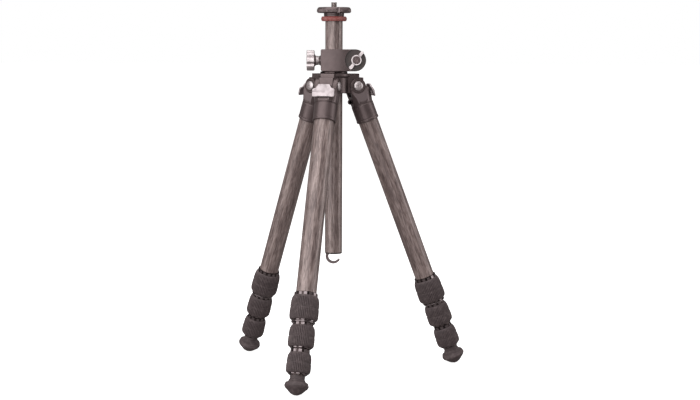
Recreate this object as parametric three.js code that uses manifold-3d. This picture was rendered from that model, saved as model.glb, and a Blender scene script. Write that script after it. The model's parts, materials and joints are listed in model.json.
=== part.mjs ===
// A four-section carbon-fibre tripod with a sliding centre column, in millimetres, +Z up.
// The origin is on the floor, in the middle of the object's bounding box.
// Each leg is built about its own axis, with "along" counted up from the foot's bottom, and then leaned.
import * as THREE from "three";
import { mergeVertices } from "three/addons/utils/BufferGeometryUtils.js";
import Module from "manifold-3d";

const wasm = await Module();
wasm.setup();

// ---- driving dimensions, mm and degrees ----
const GAP = 0.3; // between pieces that touch
const LEG_SIDES = 16; // facets round a leg piece
const CENTRE_SIDES = 24; // facets round a centre piece

const LEG_LEAN = 20.88; // of a leg's axis from the vertical
const FOOT_CIRCLE = 213; // radius at which the leg axes meet the floor
const LEG_AZIMUTH = { right: 14.5, left: 134.5, front: 254.5 };
const HINGE_ALONG = 496.4; // hinge axis, counted from the foot's bottom
const radians = THREE.MathUtils.degToRad;
const HINGE_RADIUS = FOOT_CIRCLE - HINGE_ALONG * Math.sin(radians(LEG_LEAN)); // from the column's axis
const HINGE_Z = HINGE_ALONG * Math.cos(radians(LEG_LEAN));

const TUBE_OUTER = [16, 14, 12.5, 11]; // radii of tubes 1 to 4
const TUBE_INNER = [14.6, 13, 11.5, 10];
const TUBE_BOTTOM = [136, 94, 53, 31.6]; // with the leg closed up
const TUBE_TOP = [461, 446, 440, 434];
const SHIM_RADIUS = [0, 14.4, 12.8, 11.3]; // guide shims bonded round the tops of tubes 2 to 4
const SHIM_LENGTH = 14;

const COLLAR_BOTTOM = [114, 72, 32];
const COLLAR_TOP = [159.7, 113.6, 71.6];
const COLLAR_OUTER = [22.5, 20.5, 19.2];
const COLLAR_BORE = [16.5, 14.5, 13]; // turns on the tube that carries it
const COLLAR_LIP = 5; // thickness of the lower lip
const LIP_PLAY = 0.35; // between a lip or collet and the tube that slides through it
const COLLET_WALL_TOP = 1.75;
const COLLET_WALL_BOTTOM = 1;

const FOOT_OUTLINE = [
  // [radius, along], from the blunt tip up to the neck
  [0, 1.5],
  [4, 1.8],
  [9, 4.4],
  [17.5, 12.3],
  [18.75, 15.7],
  [16.2, 22.9],
  [12.5, 25.5],
  [11.6, 31.2],
];
const FOOT_PLUG_TOP = 52; // the foot's plug inside tube 4
const PLUG_PLAY = 0.4; // round the plugs bonded into the tubes

const CUP_RADIUS = 18.25;
const CUP_BOTTOM = 437;
const CUP_TOP = 468;
const CUP_BORE = 16.3;
const CUP_BORE_TOP = 462;
const SHOULDER_BOTTOM = 464;
const SHOULDER_INNER = -15; // reach of the casting's shoulder towards the column
const SHOULDER_OUTER = 17.6;
const SHOULDER_WIDEST = 22.4; // radius of its flare, 10 below the hinge axis
const FORK_GAP = 11.6; // half the width of the slot between the ears
const FORK_FLOOR = 14; // below the hinge axis
const EAR_RADIUS = 12.4;
const AXLE_RADIUS = 4;
const AXLE_BORE = 4.4;
const CAP_RADIUS = 7.55;
const CAP_THICKNESS = 2.6;
const EYELET_X = -17.2; // the accessory eyelet at the back of the casting
const EYELET_ALONG = 474.6;
const EYELET_RADIUS = 4;
const EYELET_HALF_WIDTH = 2.2;
const EYELET_HOLE = 1.9;
const POCKET_PLAY = 0.5; // round the stop tab's tongue

const TAB_INNER = 20; // the stop tab's plate, outward of the leg axis
const TAB_OUTER = 23;
const TAB_TOP = 492;
const TAB_SHOULDER = 485.4;
const TAB_BOTTOM = 470.8;
const TAB_HALF_TOP = 9;
const TAB_CORNER = 3.2;
const TAB_HALF_WIDTH = 18.3;
const TONGUE_HALF_WIDTH = 8;
const TONGUE_INNER = 9;
const TONGUE_BOTTOM = 473;
const TONGUE_TOP = 481.4;

const COLUMN_OUTER = 14;
const COLUMN_INNER = 12.25;
const COLUMN_BOTTOM = 193.6;
const COLUMN_TOP = 575;
const COLUMN_PLAY = 0.6; // between the column and the bores that guide it
const END_CAP_BOTTOM = 191.3;
const END_CAP_TOP = 224;
const SPRING_WELL_RADIUS = 7; // the hook's spring stands in a well in the end cap
const SPRING_WELL_BOTTOM = 204;

const HUB_RADIUS = 23;
const HUB_BOTTOM = 452;
const HUB_FLANGE = 3; // the flange round the hub's top stands out by this
const HUB_FLANGE_BOTTOM = 479;
const SPIDER_TOP = 483.6;
const LUG_HALF_WIDTH = 11.2;
const LUG_END_RADIUS = 12.2;
const LUG_STEP_REACH = 10.5; // the stop step beyond the hinge axis
const LUG_STEP_HEIGHT = 13.6;
const LUG_BACK_REACH = 3.6; // the step behind it, up to the spider's top
const PAN_RING_RADIUS = 22;
const SPIGOT_RADIUS = 17.5; // the ring's spigot inside the block
const SPIGOT_HEIGHT = 4;

const BLOCK_LEFT = -21.2;
const BLOCK_BOTTOM = 487.2;
const BLOCK_TOP = 522.5;
const BLOCK_HALF_DEPTH = 19.5;
const BLOCK_END_X = 34; // centre of the half-round end
const BLOCK_CHAMFER = 2;
const BOSS_RADIUS = 8; // round the clamp screw's hole
const BOSS_HEIGHT = 3;
const KNOB_Z = 504.4;
const KNOB_LEFT = -44;
const KNOB_RIGHT = -31.2;
const KNOB_LOBES = 8;
const KNOB_RADIUS = 15.2; // midway between the crests and the flutes
const KNOB_FLUTE = 1.2;
const KNOB_NECK_RADIUS = 6.5;
const CLAMP_SCREW_RADIUS = 3.9;
const CLAMP_SCREW_LEFT = -36.6;
const CLAMP_SCREW_TIP = -18.4;
const CLAMP_SHOE_RADIUS = 5.6;
const CLAMP_SHOE_BACK = -18;
const LEVER_X = 36.2;
const LEVER_Z = 505.2;
const LEVER_RECESS_RADIUS = 18.4;
const LEVER_RECESS_DEPTH = 4.6;
const LEVER_ANGLE = 53; // from the horizontal
const LEVER_HALF = 14.6; // from the pivot to the middle of each tip
const LEVER_TIP_RADII = [3.1, 2.6];
const LEVER_HUB_RADIUS = 8.3;
const LEVER_BORE = 6.3;
const LEVER_SCREW_HEAD = 5.9;
const LEVER_SCREW_SHANK = 3;
const LEVER_PLAY = 0.4; // between the lever and the floor of its recess

const PLATFORM_RADIUS = 27.5;
const PLATFORM_BOTTOM = 580.6;
const PLATFORM_TOP = 589.6;
const STUD_RADIUS = 4.76; // 3/8 inch thread
const STUD_TOP = 597.6;
const STUD_BOTTOM = 566.3; // inside the column head
const NECK_RADIUS = 16.3;
const HEAD_PLUG_BOTTOM = 550;
const SHOCK_RING_Z = 571.2;
const SHOCK_RING_RADIUS = 20.8;

const HOOK_CENTRE_Z = 187;
const HOOK_RADIUS = 10.3; // middle of the band
const HOOK_BAND = 4.4;
const HOOK_HALF_WIDTH = 2.5;
const HOOK_TIP_ANGLE = -27;
const HOOK_SHANK_RADIUS = 2;
const HOOK_HEAD_RADIUS = 5.6;
const HOOK_HEAD_BOTTOM = 218;
const HOOK_HEAD_TOP = 220.6;
const SPRING_RADIUS = 4.2;
const SPRING_WIRE = 0.5; // radius of the wire
const SPRING_TURNS = 5;

// ---- materials ----
const carbon = new THREE.MeshStandardMaterial({ color: 0x6e6262, roughness: 0.45, metalness: 0.1 });
const castAluminium = new THREE.MeshStandardMaterial({ color: 0x5a5050, roughness: 0.5, metalness: 0.6 });
const silver = new THREE.MeshStandardMaterial({ color: 0xe6dcdf, roughness: 0.3, metalness: 0.9 });
const rubber = new THREE.MeshStandardMaterial({ color: 0x4a4143, roughness: 0.8, metalness: 0 });
const redRubber = new THREE.MeshStandardMaterial({ color: 0xa84a4a, roughness: 0.6, metalness: 0 });
const nylon = new THREE.MeshStandardMaterial({ color: 0x2c2a2a, roughness: 0.6, metalness: 0 });
const steel = new THREE.MeshStandardMaterial({ color: 0xb8b0b0, roughness: 0.35, metalness: 0.9 });

// ---- shapes ----

// A profile of [radius, height] points turned about Z, in an order that leaves the body on its left.
function turned(points, sides) {
  const profile = points.map(([r, z]) => new THREE.Vector2(r, z));
  return new THREE.LatheGeometry(profile, sides).rotateX(Math.PI / 2);
}

// A ring whose cross-section is the closed outline of [radius, height] points.
function ring(points, sides) {
  return turned([...points, points[0]], sides);
}

function shapeOf(points) {
  return new THREE.Shape(points.map(([x, y]) => new THREE.Vector2(x, y)));
}

// An outline in the XZ plane given thickness along Y, from yLow to yHigh.
function extrudedAlongY(shape, yLow, yHigh, curveSegments = 6) {
  const depth = yHigh - yLow;
  const solid = new THREE.ExtrudeGeometry(shape, { depth, bevelEnabled: false, curveSegments });
  return solid.rotateX(Math.PI / 2).translate(0, yHigh, 0);
}

function box(low, high) {
  const size = high.map((value, i) => value - low[i]);
  const middle = high.map((value, i) => (value + low[i]) / 2);
  return new THREE.BoxGeometry(...size).translate(...middle);
}

function rodAlongX(radius, xLow, xHigh, y, z, sides) {
  const rod = new THREE.CylinderGeometry(radius, radius, xHigh - xLow, sides);
  return rod.rotateZ(-Math.PI / 2).translate((xLow + xHigh) / 2, y, z);
}

function rodAlongY(radius, yLow, yHigh, x, z, sides) {
  const rod = new THREE.CylinderGeometry(radius, radius, yHigh - yLow, sides);
  return rod.translate(x, (yLow + yHigh) / 2, z);
}

function rodAlongZ(radius, zLow, zHigh, sides) {
  const rod = new THREE.CylinderGeometry(radius, radius, zHigh - zLow, sides);
  return rod.rotateX(Math.PI / 2).translate(0, 0, (zLow + zHigh) / 2);
}

function toSolid(geometry) {
  const bare = geometry.clone();
  bare.deleteAttribute("normal");
  bare.deleteAttribute("uv");
  const merged = mergeVertices(bare, 1e-4);
  const mesh = new wasm.Mesh({
    numProp: 3,
    vertProperties: merged.attributes.position.array,
    triVerts: new Uint32Array(merged.index.array),
  });
  return new wasm.Manifold(mesh);
}

// Joins the first list of geometries and cuts the second from them.
function joined(added, cut = []) {
  let solid = toSolid(added[0]);
  for (const geometry of added.slice(1)) solid = solid.add(toSolid(geometry));
  for (const geometry of cut) solid = solid.subtract(toSolid(geometry));
  return fromSolid(solid);
}

function common(first, second) {
  return fromSolid(toSolid(first).intersect(toSolid(second)));
}

function fromSolid(solid) {
  const { numProp, numVert, vertProperties, triVerts } = solid.getMesh();
  const positions = new Float32Array(numVert * 3);
  for (let i = 0; i < numVert; i++) {
    const start = i * numProp;
    positions.set(vertProperties.subarray(start, start + 3), i * 3);
  }
  const geometry = new THREE.BufferGeometry();
  geometry.setAttribute("position", new THREE.BufferAttribute(positions, 3));
  geometry.setIndex(new THREE.BufferAttribute(triVerts, 1));
  return geometry;
}

function add(parent, name, geometry, material) {
  const mesh = new THREE.Mesh(geometry, material);
  mesh.name = name;
  parent.add(mesh);
}

// ---- leg pieces, about the leg's own axis: x outward, y sideways, z along ----

function tube(level) {
  const outer = TUBE_OUTER[level];
  const inner = TUBE_INNER[level];
  const bottom = TUBE_BOTTOM[level];
  const top = TUBE_TOP[level];
  if (level === 0) return ring([[inner, bottom], [outer, bottom], [outer, top], [inner, top]], LEG_SIDES);
  const shim = SHIM_RADIUS[level];
  const step = top - SHIM_LENGTH;
  return ring(
    [[inner, bottom], [outer, bottom], [outer, step], [shim, step], [shim, top], [inner, top]],
    LEG_SIDES,
  );
}

function collar(level) {
  const outer = COLLAR_OUTER[level];
  const bottom = COLLAR_BOTTOM[level];
  const top = COLLAR_TOP[level];
  const lipBore = TUBE_OUTER[level + 1] + LIP_PLAY;
  const bore = COLLAR_BORE[level];
  return ring(
    [
      [lipBore, bottom],
      [outer, bottom],
      [outer, top],
      [bore, top],
      [bore, bottom + COLLAR_LIP],
      [lipBore, bottom + COLLAR_LIP],
    ],
    LEG_SIDES,
  );
}

function collet(level) {
  const bore = TUBE_OUTER[level + 1] + LIP_PLAY;
  const bottom = COLLAR_BOTTOM[level] + COLLAR_LIP + GAP;
  const top = TUBE_BOTTOM[level] - GAP;
  const wallTop = Math.min(COLLET_WALL_TOP, TUBE_OUTER[level] - bore);
  return ring(
    [[bore, bottom], [bore + COLLET_WALL_BOTTOM, bottom], [bore + wallTop, top], [bore, top]],
    LEG_SIDES,
  );
}

function foot() {
  const plug = TUBE_INNER[3] - PLUG_PLAY;
  const neckTop = FOOT_OUTLINE.at(-1)[1];
  return turned([...FOOT_OUTLINE, [plug, neckTop], [plug, FOOT_PLUG_TOP], [0, FOOT_PLUG_TOP]], LEG_SIDES);
}

// The casting's shoulder and ears: a flare turned about the leg, trimmed to their side view and width.
function castingShoulder() {
  const hinge = HINGE_ALONG;
  const side = new THREE.Shape();
  side.moveTo(SHOULDER_INNER - 1.5, SHOULDER_BOTTOM);
  side.lineTo(SHOULDER_OUTER, SHOULDER_BOTTOM);
  side.lineTo(SHOULDER_OUTER, hinge - 11);
  side.lineTo(EAR_RADIUS, hinge - 3);
  side.absarc(0, hinge, EAR_RADIUS, 0, Math.PI, false);
  side.lineTo(SHOULDER_INNER, hinge - 8);
  const trim = extrudedAlongY(side, -CUP_RADIUS, CUP_RADIUS, 8);
  const clear = hinge + 2 * EAR_RADIUS;
  const flare = turned(
    [
      [0, SHOULDER_BOTTOM],
      [CUP_RADIUS, SHOULDER_BOTTOM],
      [SHOULDER_WIDEST, hinge - 10],
      [SHOULDER_WIDEST + 1.6, clear],
      [0, clear],
    ],
    CENTRE_SIDES,
  );
  return common(trim, flare);
}

// The cup that grips tube 1, the shoulder above it and the two ears of the hinge.
function legCasting() {
  const cup = rodAlongZ(CUP_RADIUS, CUP_BOTTOM, CUP_TOP, LEG_SIDES);
  const eyeletPlate = new THREE.Shape();
  eyeletPlate.absarc(EYELET_X, EYELET_ALONG, EYELET_RADIUS, 0, 2 * Math.PI, false);
  const eyelet = extrudedAlongY(eyeletPlate, -EYELET_HALF_WIDTH, EYELET_HALF_WIDTH, 12);
  const past = 30; // cuts run out past the casting
  const slot = box([-past, -FORK_GAP, HINGE_ALONG - FORK_FLOOR], [past, FORK_GAP, HINGE_ALONG + past]);
  const tubeBore = rodAlongZ(CUP_BORE, CUP_BOTTOM - 1, CUP_BORE_TOP, LEG_SIDES);
  const axleBore = rodAlongY(AXLE_BORE, -past, past, 0, HINGE_ALONG, 12);
  const eyeletHole = rodAlongY(EYELET_HOLE, -past, past, EYELET_X - 0.6, EYELET_ALONG, 10);
  const pocket = box(
    [TONGUE_INNER - 1, -TONGUE_HALF_WIDTH - POCKET_PLAY, TONGUE_BOTTOM - POCKET_PLAY],
    [past, TONGUE_HALF_WIDTH + POCKET_PLAY, TONGUE_TOP + POCKET_PLAY],
  );
  return joined([castingShoulder(), cup, eyelet], [slot, tubeBore, axleBore, eyeletHole, pocket]);
}

// A bolt and its cap nut: two silver caps outside the ears, and the axle between them.
function hingeAxle() {
  const inner = CUP_RADIUS + GAP;
  const outer = inner + CAP_THICKNESS;
  const edge = 0.8;
  const axle = turned(
    [
      [0, -outer],
      [CAP_RADIUS - edge, -outer],
      [CAP_RADIUS, -outer + edge],
      [CAP_RADIUS, -inner],
      [AXLE_RADIUS, -inner],
      [AXLE_RADIUS, inner],
      [CAP_RADIUS, inner],
      [CAP_RADIUS, outer - edge],
      [CAP_RADIUS - edge, outer],
      [0, outer],
    ],
    16,
  );
  return axle.rotateX(Math.PI / 2).translate(0, 0, HINGE_ALONG);
}

// The sliding stop: a winged plate outside the fork and a tongue that runs in the casting's pocket.
function angleTab() {
  const half = TAB_HALF_WIDTH;
  const chamfer = 2;
  const slope = 3.6; // how far each flank of the top runs out
  const outline = new THREE.Shape();
  outline.moveTo(-half + TAB_CORNER, TAB_BOTTOM);
  outline.quadraticCurveTo(0, TAB_BOTTOM + 2, half - TAB_CORNER, TAB_BOTTOM);
  outline.quadraticCurveTo(half, TAB_BOTTOM, half, TAB_BOTTOM + TAB_CORNER);
  outline.lineTo(half, TAB_SHOULDER - chamfer);
  outline.lineTo(half - chamfer, TAB_SHOULDER);
  outline.lineTo(TAB_HALF_TOP + slope, TAB_SHOULDER);
  outline.lineTo(TAB_HALF_TOP, TAB_TOP);
  outline.lineTo(-TAB_HALF_TOP, TAB_TOP);
  outline.lineTo(-TAB_HALF_TOP - slope, TAB_SHOULDER);
  outline.lineTo(-half + chamfer, TAB_SHOULDER);
  outline.lineTo(-half, TAB_SHOULDER - chamfer);
  outline.lineTo(-half, TAB_BOTTOM + TAB_CORNER);
  outline.quadraticCurveTo(-half, TAB_BOTTOM, -half + TAB_CORNER, TAB_BOTTOM);
  // drawn in the XZ plane, then turned to face outward
  const plate = extrudedAlongY(outline, TAB_INNER, TAB_OUTER, 4).rotateZ(-Math.PI / 2);
  const tongue = box(
    [TONGUE_INNER, -TONGUE_HALF_WIDTH, TONGUE_BOTTOM],
    [TAB_INNER + 1, TONGUE_HALF_WIDTH, TONGUE_TOP],
  );
  return joined([plate, tongue]);
}

function buildLeg(side) {
  const leg = new THREE.Group();
  add(leg, side + "_leg_casting", legCasting(), castAluminium);
  add(leg, side + "_hinge_axle", hingeAxle(), silver);
  add(leg, side + "_angle_tab", angleTab(), silver);
  for (let level = 0; level < 4; level++) add(leg, side + "_tube_" + (level + 1), tube(level), carbon);
  for (let level = 0; level < 3; level++) {
    add(leg, side + "_collar_" + (level + 1), collar(level), rubber);
    add(leg, side + "_collet_" + (level + 1), collet(level), nylon);
  }
  add(leg, side + "_foot", foot(), rubber);
  leg.rotation.y = -radians(LEG_LEAN);
  leg.position.x = FOOT_CIRCLE;
  const swung = new THREE.Group();
  swung.rotation.z = radians(LEG_AZIMUTH[side]);
  swung.add(leg);
  return swung;
}

// ---- centre pieces, about the column's axis ----

// The shoulder piece: a hub round the column and three lugs with a stop step on top.
function spider() {
  const stepX = HINGE_RADIUS + LUG_STEP_REACH;
  const stepZ = HINGE_Z + LUG_STEP_HEIGHT;
  const backX = HINGE_RADIUS + LUG_BACK_REACH;
  const insideHub = HUB_RADIUS - 6;
  const stepAngle = Math.acos(LUG_STEP_REACH / LUG_END_RADIUS);
  const outline = new THREE.Shape();
  outline.moveTo(insideHub, HINGE_Z - LUG_END_RADIUS);
  outline.absarc(HINGE_RADIUS, HINGE_Z, LUG_END_RADIUS, -Math.PI / 2, stepAngle, false);
  outline.lineTo(stepX, stepZ);
  outline.lineTo(backX, stepZ);
  outline.lineTo(backX, SPIDER_TOP);
  outline.lineTo(insideHub, SPIDER_TOP);
  const hub = turned(
    [
      [0, HUB_BOTTOM],
      [HUB_RADIUS - 1.5, HUB_BOTTOM],
      [HUB_RADIUS, HUB_BOTTOM + 1.5],
      [HUB_RADIUS, HUB_FLANGE_BOTTOM - 2],
      [HUB_RADIUS + HUB_FLANGE, HUB_FLANGE_BOTTOM],
      [HUB_RADIUS + HUB_FLANGE, SPIDER_TOP],
      [0, SPIDER_TOP],
    ],
    CENTRE_SIDES,
  );
  const pieces = [hub];
  const cuts = [rodAlongZ(COLUMN_OUTER + COLUMN_PLAY, HUB_BOTTOM - 1, SPIDER_TOP + 1, CENTRE_SIDES)];
  for (const azimuth of Object.values(LEG_AZIMUTH)) {
    const lug = extrudedAlongY(outline, -LUG_HALF_WIDTH, LUG_HALF_WIDTH, 8);
    const bore = rodAlongY(AXLE_BORE, -HUB_RADIUS, HUB_RADIUS, HINGE_RADIUS, HINGE_Z, 12);
    pieces.push(lug.rotateZ(radians(azimuth)));
    cuts.push(bore.rotateZ(radians(azimuth)));
  }
  return joined(pieces, cuts);
}

// A flange that the column clamp turns on, with a spigot that centres it.
function panRing() {
  const bore = COLUMN_OUTER + COLUMN_PLAY;
  return ring(
    [
      [bore, SPIDER_TOP + GAP],
      [PAN_RING_RADIUS, SPIDER_TOP + GAP],
      [PAN_RING_RADIUS, BLOCK_BOTTOM - GAP],
      [SPIGOT_RADIUS, BLOCK_BOTTOM - GAP],
      [SPIGOT_RADIUS, BLOCK_BOTTOM + SPIGOT_HEIGHT],
      [bore, BLOCK_BOTTOM + SPIGOT_HEIGHT],
    ],
    CENTRE_SIDES,
  );
}

function columnClampBlock() {
  const endRadius = (BLOCK_TOP - BLOCK_BOTTOM) / 2;
  const middle = (BLOCK_TOP + BLOCK_BOTTOM) / 2;
  const outline = new THREE.Shape();
  outline.moveTo(BLOCK_LEFT + BLOCK_CHAMFER, BLOCK_BOTTOM);
  outline.absarc(BLOCK_END_X, middle, endRadius, -Math.PI / 2, Math.PI / 2, false);
  outline.lineTo(BLOCK_LEFT + BLOCK_CHAMFER, BLOCK_TOP);
  outline.lineTo(BLOCK_LEFT, BLOCK_TOP - BLOCK_CHAMFER);
  outline.lineTo(BLOCK_LEFT, BLOCK_BOTTOM + BLOCK_CHAMFER);
  const body = extrudedAlongY(outline, -BLOCK_HALF_DEPTH, BLOCK_HALF_DEPTH, 10);
  const bossLeft = BLOCK_LEFT - BOSS_HEIGHT;
  const boss = rodAlongX(BOSS_RADIUS, bossLeft, BLOCK_LEFT + 1, 0, KNOB_Z, 16);
  const front = -BLOCK_HALF_DEPTH;
  const intoBore = -10; // the screw's and the shoe's holes open into the column's bore
  const columnBore = rodAlongZ(COLUMN_OUTER + 0.4, BLOCK_BOTTOM - 1, BLOCK_TOP + 1, CENTRE_SIDES);
  const spigotTop = BLOCK_BOTTOM + SPIGOT_HEIGHT + 0.4;
  const spigotBore = rodAlongZ(SPIGOT_RADIUS + 0.4, BLOCK_BOTTOM - 1, spigotTop, CENTRE_SIDES);
  const screwHole = rodAlongX(CLAMP_SCREW_RADIUS + 0.4, bossLeft - 1, intoBore, 0, KNOB_Z, 12);
  const shoeHole = rodAlongX(CLAMP_SHOE_RADIUS + 0.4, BLOCK_LEFT + 1, intoBore, 0, KNOB_Z, 16);
  const recessFloor = front + LEVER_RECESS_DEPTH;
  const recess = rodAlongY(LEVER_RECESS_RADIUS, front - 1, recessFloor, LEVER_X, LEVER_Z, 32);
  const leverHole = rodAlongY(LEVER_SCREW_SHANK + 0.4, front - 1, front + 20, LEVER_X, LEVER_Z, 12);
  return joined([body, boss], [columnBore, spigotBore, screwHole, shoeHole, recess, leverHole]);
}

function clampKnob() {
  const stepsPerLobe = 6;
  const steps = KNOB_LOBES * stepsPerLobe;
  const corners = Array.from({ length: steps }, (_, i) => {
    const turn = (i / steps) * 2 * Math.PI;
    const radius = KNOB_RADIUS + KNOB_FLUTE * Math.cos(KNOB_LOBES * turn);
    return [radius * Math.cos(turn), radius * Math.sin(turn)];
  });
  const depth = KNOB_RIGHT - KNOB_LEFT;
  const head = new THREE.ExtrudeGeometry(shapeOf(corners), { depth, bevelEnabled: false });
  head.rotateY(Math.PI / 2).translate(KNOB_LEFT, 0, KNOB_Z);
  const neck = rodAlongX(KNOB_NECK_RADIUS, KNOB_RIGHT - 1, BLOCK_LEFT - BOSS_HEIGHT - GAP, 0, KNOB_Z, 16);
  const bore = rodAlongX(CLAMP_SCREW_RADIUS + GAP, CLAMP_SCREW_LEFT - 0.4, 0, 0, KNOB_Z, 12);
  return joined([head, neck], [bore]);
}

function clampScrew() {
  return rodAlongX(CLAMP_SCREW_RADIUS, CLAMP_SCREW_LEFT, CLAMP_SCREW_TIP, 0, KNOB_Z, 12);
}

// A pad between the screw's tip and the column, hollowed to the column.
function clampShoe() {
  const pad = rodAlongX(CLAMP_SHOE_RADIUS, CLAMP_SHOE_BACK, CLAMP_SHOE_BACK + 5, 0, KNOB_Z, 16);
  return joined([pad], [rodAlongZ(COLUMN_OUTER + 0.25, KNOB_Z - 20, KNOB_Z + 20, CENTRE_SIDES)]);
}

function tiltLever() {
  const front = -BLOCK_HALF_DEPTH;
  const yLow = front - LEVER_PLAY;
  const yHigh = front + LEVER_RECESS_DEPTH - LEVER_PLAY;
  const [tail, tip] = LEVER_TIP_RADII;
  const arm = new THREE.Shape();
  arm.absarc(-LEVER_HALF, 0, tail, Math.PI / 2, 1.5 * Math.PI, false);
  arm.absarc(LEVER_HALF, 0, tip, -Math.PI / 2, Math.PI / 2, false);
  const bar = extrudedAlongY(arm, yLow, yHigh, 5);
  const hub = rodAlongY(LEVER_HUB_RADIUS, yLow, yHigh, 0, 0, 24);
  const hole = rodAlongY(LEVER_BORE, yLow - 1, yHigh + 1, 0, 0, 20);
  return joined([bar, hub], [hole]).rotateY(-radians(LEVER_ANGLE)).translate(LEVER_X, 0, LEVER_Z);
}

function leverScrew() {
  const front = -BLOCK_HALF_DEPTH;
  const seat = front + LEVER_RECESS_DEPTH - LEVER_PLAY;
  const head = rodAlongY(LEVER_SCREW_HEAD, front - 0.2, seat, LEVER_X, LEVER_Z, 20);
  const shank = rodAlongY(LEVER_SCREW_SHANK, front + 2, front + 18, LEVER_X, LEVER_Z, 12);
  return joined([head, shank]);
}

function columnTube() {
  return ring(
    [
      [COLUMN_INNER, COLUMN_BOTTOM],
      [COLUMN_OUTER, COLUMN_BOTTOM],
      [COLUMN_OUTER, COLUMN_TOP],
      [COLUMN_INNER, COLUMN_TOP],
    ],
    CENTRE_SIDES,
  );
}

// The neck under the platform, with a plug that is bonded into the column.
function columnHead() {
  const bore = STUD_RADIUS + GAP;
  const plug = COLUMN_INNER - PLUG_PLAY;
  const boreBottom = STUD_BOTTOM - GAP;
  return turned(
    [
      [0, HEAD_PLUG_BOTTOM],
      [plug, HEAD_PLUG_BOTTOM],
      [plug, COLUMN_TOP + GAP],
      [NECK_RADIUS, COLUMN_TOP + GAP],
      [NECK_RADIUS, PLATFORM_BOTTOM - GAP],
      [bore, PLATFORM_BOTTOM - GAP],
      [bore, boreBottom],
      [0, boreBottom],
    ],
    CENTRE_SIDES,
  );
}

function shockRing() {
  const half = 3.7;
  const flat = 1.2;
  const inner = COLUMN_OUTER + GAP;
  const edge = SHOCK_RING_RADIUS - 2.2;
  return ring(
    [
      [inner, SHOCK_RING_Z - half],
      [edge, SHOCK_RING_Z - half],
      [SHOCK_RING_RADIUS, SHOCK_RING_Z - flat],
      [SHOCK_RING_RADIUS, SHOCK_RING_Z + flat],
      [edge, SHOCK_RING_Z + half],
      [inner, SHOCK_RING_Z + half],
    ],
    CENTRE_SIDES,
  );
}

function cameraPlatform() {
  const bore = STUD_RADIUS + GAP;
  return ring(
    [
      [bore, PLATFORM_BOTTOM],
      [PLATFORM_RADIUS - 1.6, PLATFORM_BOTTOM],
      [PLATFORM_RADIUS, PLATFORM_BOTTOM + 1.4],
      [PLATFORM_RADIUS, PLATFORM_TOP - 2.6],
      [PLATFORM_RADIUS - 2.4, PLATFORM_TOP],
      [bore, PLATFORM_TOP],
    ],
    36,
  );
}

function cameraStud() {
  return turned(
    [
      [0, STUD_BOTTOM],
      [STUD_RADIUS, STUD_BOTTOM],
      [STUD_RADIUS, STUD_TOP - 0.8],
      [STUD_RADIUS - 0.8, STUD_TOP],
      [0, STUD_TOP],
    ],
    16,
  );
}

// The plug in the column's lower end: the hook's shank slides in it, and its spring sits on its ledge.
function columnEndCap() {
  const plug = COLUMN_INNER - PLUG_PLAY;
  const body = turned(
    [
      [0, END_CAP_BOTTOM],
      [COLUMN_OUTER, END_CAP_BOTTOM],
      [COLUMN_OUTER, COLUMN_BOTTOM - GAP],
      [plug, COLUMN_BOTTOM - GAP],
      [plug, END_CAP_TOP],
      [0, END_CAP_TOP],
    ],
    CENTRE_SIDES,
  );
  const shankHole = rodAlongZ(HOOK_SHANK_RADIUS + 0.6, END_CAP_BOTTOM - 1, END_CAP_TOP, 12);
  const springWell = rodAlongZ(SPRING_WELL_RADIUS, SPRING_WELL_BOTTOM, END_CAP_TOP + 1, 20);
  // the hook's bend rests in a slot that is open to the left
  const slotHalf = HOOK_HALF_WIDTH + 0.4;
  const slotTop = HOOK_CENTRE_Z + HOOK_RADIUS + HOOK_BAND / 2 + 0.9;
  const hookSlot = box([-20, -slotHalf, END_CAP_BOTTOM - 1], [slotHalf, slotHalf, slotTop]);
  return joined([body], [shankHole, springWell, hookSlot]);
}

// A C of flat band under the column, with a shank and a head that hold it in the end cap.
function ballastHook() {
  const band = new THREE.Shape();
  const inner = HOOK_RADIUS - HOOK_BAND / 2;
  const outer = HOOK_RADIUS + HOOK_BAND / 2;
  const tip = radians(HOOK_TIP_ANGLE);
  band.absarc(0, HOOK_CENTRE_Z, outer, Math.PI / 2, 2 * Math.PI + tip, false);
  band.absarc(0, HOOK_CENTRE_Z, inner, 2 * Math.PI + tip, Math.PI / 2, true);
  const hook = extrudedAlongY(band, -HOOK_HALF_WIDTH, HOOK_HALF_WIDTH, 24);
  const shank = rodAlongZ(HOOK_SHANK_RADIUS, HOOK_CENTRE_Z + HOOK_RADIUS, HOOK_HEAD_TOP - 1, 10);
  const head = rodAlongZ(HOOK_HEAD_RADIUS, HOOK_HEAD_BOTTOM, HOOK_HEAD_TOP, 16);
  return joined([hook, shank, head]);
}

class Helix extends THREE.Curve {
  constructor(radius, low, high, turns) {
    super();
    Object.assign(this, { radius, low, high, turns });
  }
  getPoint(t, target = new THREE.Vector3()) {
    const angle = 2 * Math.PI * this.turns * t;
    const height = this.low + (this.high - this.low) * t;
    return target.set(this.radius * Math.cos(angle), this.radius * Math.sin(angle), height);
  }
}

function hookSpring() {
  const wire = SPRING_WIRE;
  const section = shapeOf([[wire, 0], [0, wire], [-wire, 0], [0, -wire]]);
  const low = SPRING_WELL_BOTTOM + wire + 0.4;
  const high = HOOK_HEAD_BOTTOM - wire - 0.4;
  return new THREE.ExtrudeGeometry(section, {
    steps: SPRING_TURNS * 8,
    extrudePath: new Helix(SPRING_RADIUS, low, high, SPRING_TURNS),
    bevelEnabled: false,
  });
}

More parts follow.
